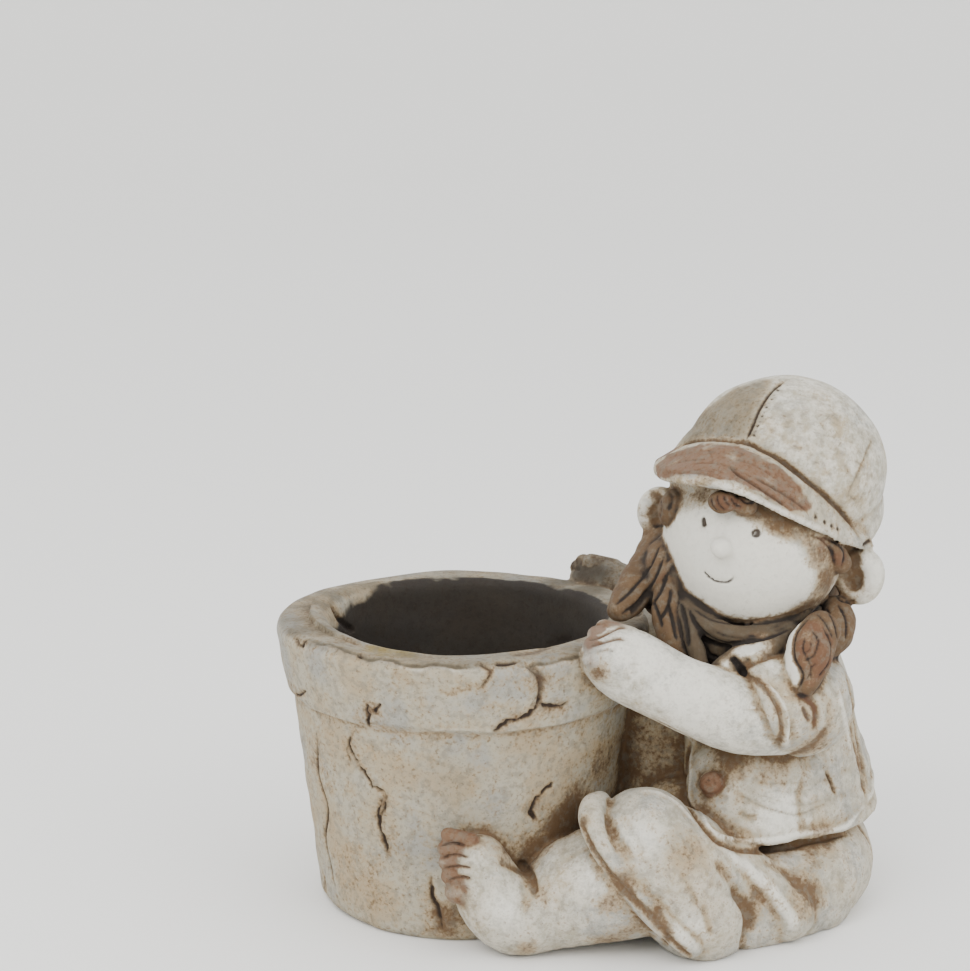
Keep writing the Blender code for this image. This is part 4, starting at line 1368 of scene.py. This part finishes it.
class Hair:
    """The curls under the cap and the tied tail on the near shoulder."""

    TAIL_HEART = (
        (808, 619), (822, 622), (834, 640), (832, 664), (818, 682), (804, 690), (803, 675), (795, 656),
        (796, 636))
    TAIL_EDGE = (
        (782, 640), (790, 624), (804, 616), (796, 634), (794, 656), (802, 674), (797, 692), (786, 674))
    SWIRLS = (
        mark(3, 1.6, (808, 619), (796, 634), (794, 656), (803, 675), (797, 690), line=0.75, wash=0.6),
        mark(2.8, 1.2, (811, 629), (818, 641), (814, 655), (804, 661), line=0.55),
        mark(2.8, 1.3, (823, 627), (831, 644), (829, 663), (817, 679), line=0.6),
        mark(2.4, 1, (805, 637), (803, 650), (811, 668), (806, 682), line=0.5),
        mark(2.2, 0.9, (816, 662), (811, 671), (813, 682), line=0.45),
        mark(2.2, 0.8, (812, 637), (810, 648), (805, 653), line=0.4),
        mark(2.2, -0.8, (826, 650), (822, 664), pale=0.5),
    )
    STRANDS = (
        mark(3, 1.3, (826, 608), (834, 622), (838, 640), line=0.5, paint=0.4),
        mark(3, 1.3, (838, 604), (846, 620), (846, 640), line=0.5, paint=0.4),
        mark(2.6, 1, (816, 612), (826, 624), (834, 640), line=0.4),
        mark(3, 1.4, (808, 534), (822, 540), (832, 552), (834, 566), line=0.5, paint=0.5),
        mark(3, 1.2, (818, 536), (834, 542), (844, 552), (842, 568), line=0.5, paint=0.6),
        mark(3.4, 1.4, (660, 545), (648, 570), (632, 590), (614, 606), line=0.7),
        mark(3.4, 1.4, (664, 556), (654, 580), (640, 600), (622, 614), line=0.7),
        mark(3.4, 1.6, (668, 572), (660, 592), (648, 608), (634, 618), line=0.8, shade=0.3),
        mark(3.4, 1.4, (672, 588), (668, 606), (660, 620), line=0.8, shade=0.3),
        mark(4, 1.8, (652, 600), (658, 614), (662, 627), line=0.7, wash=0.8),
        mark(4, 1.8, (668, 604), (673, 622), (677, 641), line=0.7, wash=0.8),
        mark(5, 2.2, (681, 604), (686, 626), (688, 646), shade=0.8, wash=0.8),
        mark(7, 2.4, (648, 592), (640, 604), (632, 612), shade=0.8),
        mark(5, -1.2, (672, 560), (664, 574), (656, 584), pale=0.3, paint=0.3),
        # a painted highlight on the rounded end of the hanging lock
        mark(5, -0.8, (612, 604), (618, 614), (624, 624), pale=0.9),
    )
    SEED = 61
    CURLS = (
        ((711, 497), (712, 505), (718, 512)), ((717, 494), (718, 503), (725, 511)),
        ((724, 494), (726, 502), (733, 508)), ((731, 497), (735, 504), (742, 508)),
        ((740, 498), (746, 503), (754, 503)), ((714, 491), (722, 490), (729, 494)),
    )

    def build(self, casting: Casting) -> None:
        """Add the tail, the hair behind the ear and the curls."""
        at = DRAWING.child
        casting.limb(Region.HAIR, ((113, -48, 200, 9.5), (112, -57, 193, 12), (106, -64, 184, 11)))
        casting.limb(
            Region.HAIR, ((98, -82, 196, 12), (91, -88, 184, 15), (87, -95, 172, 11), (84, -101, 162, 4)), 4)
        casting.limb(Region.HAIR, ((106, -52, 182, 12), (104, -54, 166, 9)))
        casting.limb(
            Region.HAIR, ((6, -10, 236, 13), (-4, -28, 218, 14), (-15, -42, 208, 12), (-22, -50, 202, 9)))
        casting.ball(Region.HAIR, at(12, -30, 216), (22, 26, 28))
        casting.limb(Region.HAIR, ((10, -44, 222, 9), (6, -56, 200, 9), (12, -62, 178, 9)), 5)
        casting.ball(Region.HAIR, at(12, -34, 262), (10, 14, 12))
        casting.ball(Region.HAIR, at(36, -82, 277), (9, 7, 7.5), heading(25))
        casting.ball(Region.HAIR, at(51, -82, 275), (8, 7, 6), heading(15))
        casting.limb(Region.HAIR, ((97, -66, 250, 5.5), (107, -63, 242, 6.5), (113, -57, 233, 7)), 5)

    def dress(self, surface: Surface) -> None:
        """Comb the hair into strands and swirls, leave the tail's edge bare, and lay a painted highlight on the
        end of the hanging lock.
        """
        locks = surface.blurred(surface.mask(Region.HAIR, Region.NECK, Region.COLLAR).astype(float), 4)
        surface.push(locks * (
            surface.uneven(13.0, self.SEED) * 0.9 + surface.uneven(6.0, self.SEED + 1) * 0.35))
        surface.refresh()
        surface.tint(surface.inside(self.TAIL_HEART, Region.HAIR), 3, {
            Tone.PAINT: 0.42, Tone.WASH_AND_SHADE: -0.2, Tone.SHADE: -0.2})
        surface.tint(surface.inside(self.TAIL_EDGE, Region.HAIR), 3, {
            Tone.PALE: 1.1, Tone.WASH_AND_SHADE: -1.2, Tone.PAINT: -0.6, Tone.SHADE: -0.4})
        surface.marked([mark(2.4, 1.0, *trail, line=0.6, paint=0.6) for trail in self.CURLS])
        surface.marked(self.SWIRLS)
        surface.marked(self.STRANDS)
        for pixel in ((722, 503), (735, 506), (820, 545), (838, 560)):
            surface.patch(pixel, 9.0, {Tone.PAINT: 0.5, Tone.WASH_AND_SHADE: -0.2, Tone.SHADE: -0.1})


class Collar:
    """The rolled neckcloth under the chin, with a folded end."""

    ROLL = (
        (18, -54, 206, 7.5), (30, -66, 196, 7), (46, -73, 192, 6.5), (66, -72, 192.5, 6.5), (90, -56, 203, 7))
    EDGE = ((18, -60, 204, 5), (21, -68, 190, 5), (27, -75, 172, 5))
    FLAP = ((35, -82, 169, 7), (48, -82, 176, 10), (64, -78, 184, 9), (80, -68, 191, 8))
    MARKS = (
        mark(4, 1.8, (688, 607), (696, 624), (709, 636), (726, 643), (745, 642), (766, 638), (791, 629),
            line=0.8, wash=0.9),
        mark(3, 0.8, (692, 608), (710, 619), (735, 624), (765, 623), (795, 616), (820, 603), line=0.6),
        mark(2.4, 0.6, (712, 630), (730, 637), (752, 636), (776, 630), line=0.35),
        mark(3, -0.6, (700, 612), (712, 626), (734, 635), (768, 632), (800, 618), paint=0.25),
        mark(6, 4, (732, 657), (738, 664), (745, 676), shade=0.9, line=0.8),
        mark(4, 1.4, (745, 668), (758, 662), (776, 655), wash=0.7, line=0.2),
        mark(4, 1.6, (704, 645), (710, 655), (720, 658), line=0.5, wash=0.7),
        mark(4, 1.2, (700, 632), (712, 642), (724, 646), line=0.4, wash=0.5),
    )
    STAINS = (
        stain(742, 650, 11, pale=1.3, wash=-0.9), stain(760, 645, 12, pale=1.3, wash=-0.9),
        stain(742, 650, 11, grime=-0.8), stain(760, 645, 12, grime=-0.8),
        stain(726, 664, 7, pale=1.1, wash=-0.8, grime=-0.6),
        stain(716, 648, 10, shade=-0.8, line=-0.6, wash=0.3), stain(775, 664, 10, pale=0.4, wash=-0.3),
    )

    def build(self, casting: Casting) -> None:
        """Add the roll, its hanging edge and the folded end."""
        for course in (self.ROLL, self.EDGE, self.FLAP):
            casting.limb(Region.COLLAR, course, 5)

    def dress(self, surface: Surface) -> None:
        """Fold the neckcloth."""
        surface.marked(self.MARKS)
        surface.stained(self.STAINS)


class WeatheringAndShade:
    """How the brown lies over the casting, in its hollows and off its high places, with painted shade where
    walls nearby cover the surface, in the grooves of the hair and over the hair, neck and neckcloth.
    """

    COLUMNS = (Tone.PALE, Tone.WASH_AND_SHADE, Tone.PAINT, Tone.SHADE)
    # the shade column is painted shade over the hair, the neck and the neckcloth
    GROUNDS = {
        Region.POT: (0.02, 0.24, 0.0, 0.0),
        Region.CAP: (0.48, 0.14, 0.0, 0.0),
        Region.PEAK: (0.45, 0.24, 0.0, 0.0),
        Region.FACE: (1.00, 0.02, 0.0, 0.0),
        Region.EAR: (0.70, 0.24, 0.0, 0.0),
        Region.HAIR: (0.00, 1.00, 0.18, 0.28),
        Region.NECK: (0.00, 1.00, 0.05, 0.55),
        Region.COLLAR: (0.00, 1.00, 0.12, 0.30),
        Region.SHIRT: (0.05, 0.55, 0.0, 0.0),
        Region.JACKET: (0.45, 0.24, 0.0, 0.0),
        Region.SKIRT: (0.45, 0.24, 0.0, 0.0),
        Region.ARM: (0.60, 0.14, 0.0, 0.0),
        Region.LEG: (0.45, 0.20, 0.0, 0.0),
        Region.TOE: (0.15, 0.35, 0.60, 0.0),
        Region.FINGER: (0.40, 0.20, 0.35, 0.0),
        Region.BUTTON: (0.00, 0.60, 1.10, 0.0),
    }
    # how far away a wall still gives cover, in millimetres, and how many directions are tried
    COVER_REACH = 30.0
    COVER_RAYS = 14
    # the share of cover from which brown painted shade is laid, and from which dark painted shade is laid
    BROWN_SHADE_COVER = 0.30
    DARK_COVER = 0.66

    def dress(self, surface: Surface) -> None:
        """Lay the tones over the carved surface."""
        surface.refresh()
        hollow = surface.hollow()
        shelter = surface.blurred(surface.sheltered(self.COVER_REACH, self.COVER_RAYS), 3)
        LOG.info("measured hollows and cover")
        for column, tone in enumerate(self.COLUMNS):
            ground = np.zeros(len(surface.points))
            for region, amounts in self.GROUNDS.items():
                ground[surface.mask(region)] = amounts[column]
            surface.tones[tone] += surface.blurred(ground, 7)
        hollow *= np.where(surface.mask(Region.FACE), 0.4, 1.0)
        raised, sunk = np.clip(-hollow, 0.0, 0.6), np.clip(hollow, 0.0, 1.0)
        dark = surface.blurred(surface.mask(Region.HAIR, Region.NECK, Region.COLLAR).astype(float), 2)
        surface.tones[Tone.PALE] += raised * 0.9 - sunk * 0.7
        # brown painted shade where walls nearby cover the surface, on top of the brown in the hollows
        cover_shade = np.clip(shelter - self.BROWN_SHADE_COVER, 0.0, 1.0)
        surface.tones[Tone.WASH_AND_SHADE] += sunk * 0.5 + cover_shade * 1.1 - raised * dark * 0.9
        cloth = surface.mask(Region.NECK, Region.COLLAR)
        surface.tones[Tone.PALE] -= raised * cloth * 0.7
        # painted shade darkens the neck and the neckcloth under the chin
        surface.tones[Tone.GRIME_AND_SHADE] += cloth * 0.42
        # painted shade in the grooves of the hair, neck and neckcloth
        surface.tones[Tone.SHADE] += sunk * dark * 0.7
        # dark painted shade in the most sheltered places, such as the crevices between the child and the pot
        surface.tones[Tone.SHADE] += np.clip(shelter - self.DARK_COVER, 0.0, 1.0) * 2.6


def add_node(tree: bpy.types.NodeTree, kind: str, settings: dict | None = None,
             links: dict | None = None) -> bpy.types.Node:
    """Add a shader node.

    Args:
        tree: the node tree.
        kind: the node's type name, without "ShaderNode".
        settings: attributes by name, and socket values by the socket's name or number.
        links: output sockets by the input's name or number.

    Returns:
        The node.
    """
    node = tree.nodes.new("ShaderNode" + kind)
    for key, value in (settings or {}).items():
        if isinstance(key, str) and hasattr(node, key):
            setattr(node, key, value)
        else:
            node.inputs[key].default_value = value
    for key, socket in (links or {}).items():
        tree.links.new(socket, node.inputs[key])
    return node


def colour(code: str) -> tuple[float, float, float, float]:
    """An sRGB hex colour as linear values."""
    parts = [int(code[place:place + 2], 16) / 255 for place in (1, 3, 5)]
    return (*[part / 12.92 if part <= 0.04045 else ((part + 0.055) / 1.055) ** 2.4 for part in parts], 1.0)


@dataclass(frozen=True)
class CastCement:
    """Cast magnesia cement with brown worked into it and worn pale, and with painted shade and highlights.

    The grey-beige ground is mottled; high places are worn pale, hollow ones keep the brown, and some details
    are touched in with red-brown. Painted shade darkens sheltered places, grooves, the pot's inside and the
    hair, neck and far hand, and pale painted highlights lie along the rim's lip and the peak. Fine grains, pits
    and brush marks show close up.
    """

    ground: str = "#a39c8a"
    cool: str = "#92918a"
    warm: str = "#9f8b6a"
    pale: str = "#dbd8cd"
    tan: str = "#9a8462"
    dust: str = "#6f685a"
    brown: str = "#563d23"
    paint: str = "#603f2a"
    line: str = "#2a1d12"
    shade: str = "#1b130c"
    ochre: str = "#85743a"
    grime: str = "#453e30"
    roughness: float = 0.86
    bump_depth: float = 0.6

    def dress(self, piece: bpy.types.Object) -> None:
        """Make the material and give it to the piece."""
        material = bpy.data.materials.new("cast_cement_brown_and_painted_shade")
        material.use_nodes = True
        tree = material.node_tree
        tree.nodes.clear()
        place = add_node(tree, "TexCoord").outputs["Object"]
        # blotches of 45 mm where the brown lay unevenly, clouds of 12 mm, grains of 2.4 mm and pits of 1.1 mm
        blotch = self.noise(tree, place, 45.0, 4.0)
        cloud = self.noise(tree, place, 12.0, 7.0)
        grain = self.noise(tree, place, 2.4, 6.0)
        pit = self.noise(tree, place, 1.1, 2.0)
        tones = {
            tone: add_node(tree, "Attribute", {"attribute_name": tone.value}).outputs["Fac"] for tone in Tone}
        stipple = add_node(
            tree, "Math", {"operation": "MULTIPLY_ADD", 1: 0.9}, {0: grain, 2: cloud}).outputs[0]
        stipple = add_node(tree, "Math", {"operation": "MULTIPLY", 1: 1 / 1.9}, {0: stipple}).outputs[0]
        mottle = self.noise(tree, place, 5.0, 3.0)
        bare = self.span(tree, tones[Tone.PALE], 1.25, 0.10)
        brown_and_shade = self.broken(tree, tones[Tone.WASH_AND_SHADE], stipple, 2.2, 0.06, 1.02)
        deep = self.span(tree, brown_and_shade, 0.30, 1.0)
        layers = (
            # the ground drifts between a cool grey and a warm ochre, as the brown dried
            (self.cool, self.span(tree, blotch, 0.50, 0.62), 0.80),
            (self.warm, self.span(tree, blotch, 0.50, 0.36), 0.60),
            # high places are worn back to pale cement, and pale painted highlights lie on the rim's lip and the
            # peak
            (self.pale, self.broken(tree, tones[Tone.PALE], stipple, 2.2, 0.18, 0.85), 0.92),
            # the brown of the hollows and the brown painted shade are tan where thin and brown where deep
            (self.tan, self.span(tree, brown_and_shade, 0.0, 0.5), 0.75),
            (self.brown, deep, 0.90),
            (self.paint, self.broken(tree, tones[Tone.PAINT], cloud, 1.0, 0.18, 0.72), 0.82),
            (self.ochre, self.broken(tree, tones[Tone.OCHRE], cloud, 1.6, 0.35, 0.8), 0.70),
            # grey dust in patches, dark sand thinly strewn, and small pits
            (self.dust, self.both(tree, self.span(tree, mottle, 0.46, 0.66), bare), 0.48),
            (self.brown, self.both(tree, self.span(tree, grain, 0.54, 0.70), bare), 0.50),
            (self.line, self.both(tree, self.span(tree, pit, 0.66, 0.74), bare), 0.60),
            # dark grey dirt, which also lays painted shade on the neck, the far hand, the far rim and the cap's
            # dim side
            (self.grime, self.span(tree, tones[Tone.GRIME_AND_SHADE], 0.0, 0.62), 0.85),
            (self.line, self.span(tree, tones[Tone.LINE], 0.10, 0.62), 0.95),
            # painted shade in sheltered places, in grooves and inside the pot
            (self.shade, self.broken(tree, tones[Tone.SHADE], cloud, 0.5, 0.12, 0.85), 0.96),
        )
        ground = add_node(tree, "RGB").outputs[0]
        ground.default_value = colour(self.ground)
        for code, share, most in layers:
            ground = self.over(tree, ground, code, share, most)
        height = add_node(
            tree, "Math", {"operation": "MULTIPLY_ADD", 1: 0.7}, {0: grain, 2: cloud}).outputs[0]
        pits = self.span(tree, pit, 0.62, 0.74)
        height = add_node(tree, "Math", {"operation": "SUBTRACT"}, {0: height, 1: pits}).outputs[0]
        bump = add_node(
            tree, "Bump", {"Strength": 0.6, "Distance": self.bump_depth * MM}, {"Height": height})
        shader = add_node(
            tree, "BsdfPrincipled", {"Roughness": self.roughness, "IOR": 1.5},
            {"Base Color": ground, "Normal": bump.outputs[0]})
        add_node(tree, "OutputMaterial", {}, {"Surface": shader.outputs[0]})
        piece.data.materials.clear()
        piece.data.materials.append(material)

    def noise(self, tree: bpy.types.NodeTree, place: bpy.types.NodeSocket, size: float,
              detail: float) -> bpy.types.NodeSocket:
        """A noise whose lumps are about size millimetres across."""
        settings = {"Scale": 1.0 / (size * MM), "Detail": detail, "Roughness": 0.6}
        return add_node(tree, "TexNoise", settings, {"Vector": place}).outputs["Fac"]

    def span(self, tree: bpy.types.NodeTree, value: bpy.types.NodeSocket, low: float,
             high: float) -> bpy.types.NodeSocket:
        """A value spread from 0 at low to 1 at high, softly."""
        settings = {"interpolation_type": "SMOOTHSTEP", "From Min": low, "From Max": high}
        return add_node(tree, "MapRange", settings, {"Value": value}).outputs["Result"]

    def both(self, tree: bpy.types.NodeTree, one: bpy.types.NodeSocket,
             other: bpy.types.NodeSocket) -> bpy.types.NodeSocket:
        """One share taken by another."""
        return add_node(tree, "Math", {"operation": "MULTIPLY"}, {0: one, 1: other}).outputs[0]

    def broken(self, tree: bpy.types.NodeTree, tone: bpy.types.NodeSocket, noise_value: bpy.types.NodeSocket,
               rough: float, low: float, high: float) -> bpy.types.NodeSocket:
        """A tone whose edge is broken up by a noise.

        Args:
            tree: the node tree.
            tone: the tone's value.
            noise_value: the noise, about 0.5 on average.
            rough: how strongly the noise shifts the tone.
            low: where it starts to show.
            high: where it shows in full.

        Returns:
            The broken tone, from 0 to 1.
        """
        centred = add_node(tree, "Math", {"operation": "SUBTRACT", 1: 0.5}, {0: noise_value}).outputs[0]
        # the noise has its full effect only where there is some of the tone
        gate = self.span(tree, tone, 0.02, 0.30)
        shift = add_node(tree, "Math", {"operation": "MULTIPLY"}, {0: centred, 1: gate}).outputs[0]
        mixed = add_node(
            tree, "Math", {"operation": "MULTIPLY_ADD", 1: rough}, {0: shift, 2: tone}).outputs[0]
        return self.span(tree, mixed, low, high)

    def over(self, tree: bpy.types.NodeTree, under: bpy.types.NodeSocket, code: str,
             share: bpy.types.NodeSocket, most: float) -> bpy.types.NodeSocket:
        """A colour laid over another by a share, up to a most."""
        amount = add_node(tree, "Math", {"operation": "MULTIPLY", 1: most}, {0: share}).outputs[0]
        mix = add_node(tree, "Mix", {"data_type": "RGBA", 7: colour(code)}, {0: amount, 6: under})
        return mix.outputs[2]


class Studio:
    """A plain pale floor that sweeps up far away, all round, under plain soft light."""

    FLOOR_SECTION = (
        (0.0, 0.0), (2.0, 0.0), (5.0, 0.0), (6.0, 0.08), (6.9, 0.35), (7.6, 0.9), (8.0, 1.8), (8.0, 4.0))

    def build(self) -> None:
        """Add the floor, the world, the lights and the camera."""
        form = bmesh.new()
        verts = [form.verts.new((radius, 0.0, height)) for radius, height in self.FLOOR_SECTION]
        edges = [form.edges.new(pair) for pair in zip(verts, verts[1:])]
        bmesh.ops.spin(
            form, geom=verts + edges, cent=(0, 0, 0), axis=(0, 0, 1), dvec=(0, 0, 0), angle=math.tau,
            steps=96, use_merge=True, use_duplicate=False)
        bmesh.ops.remove_doubles(form, verts=form.verts[:], dist=0.0001)
        bmesh.ops.recalc_face_normals(form, faces=form.faces[:])
        mesh = bpy.data.meshes.new("floor")
        form.to_mesh(mesh)
        form.free()
        mesh.shade_smooth()
        floor = bpy.data.objects.new("floor", mesh)
        bpy.context.scene.collection.objects.link(floor)
        material = bpy.data.materials.new("painted_floor_pale")
        material.use_nodes = True
        shader = material.node_tree.nodes["Principled BSDF"]
        shader.inputs["Base Color"].default_value = colour("#efeeeb")
        shader.inputs["Roughness"].default_value = 0.9
        mesh.materials.append(material)
        world = bpy.data.worlds.new("studio")
        bpy.context.scene.world = world
        world.use_nodes = True
        back = world.node_tree.nodes["Background"]
        back.inputs["Color"].default_value = colour("#f6f7f8")
        back.inputs["Strength"].default_value = 1.9
        self.light("key", (-0.9, -1.5, 1.9), 1.2, 26.0)
        self.light("fill", (1.5, -1.4, 1.4), 1.6, 18.0)
        VIEW.camera()

    def light(self, name: str, place: tuple[float, float, float], size: float, power: float) -> None:
        """Add a square soft light that faces the middle of the casting."""
        data = bpy.data.lights.new(name, "AREA")
        data.size = size
        data.energy = power
        item = bpy.data.objects.new(name, data)
        bpy.context.scene.collection.objects.link(item)
        item.location = place
        item.rotation_euler = (Vector((0.0, 0.0, 0.15)) - item.location).to_track_quat("-Z", "Y").to_euler()


def main() -> None:
    """Build the casting, carve and colour it, and set the studio round it."""
    logging.basicConfig(level=logging.INFO, format="%(message)s")
    casting = Casting()
    parts = (Flowerpot(), Body(), Legs(), Arms(), Head(), Cap(), Hair(), Collar())
    for part in parts:
        part.build(casting)
        LOG.info("added %s", type(part).__name__.lower())
    item, tree, regions = casting.fused(CELL, SOFTENING)
    LOG.info("fused into %d points", len(item.data.vertices))
    surface = Surface(item, tree, regions)
    for part in parts:
        part.dress(surface)
        LOG.info("carved %s", type(part).__name__.lower())
    WeatheringAndShade().dress(surface)
    piece = surface.finished(FACES, PIECE)
    CastCement().dress(piece)
    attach(piece, BODY)
    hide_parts(NODE)
    LOG.info("finished %s with %d triangles", piece.name, len(piece.data.polygons))
    Studio().build()


if __name__ == "__main__":
    main()
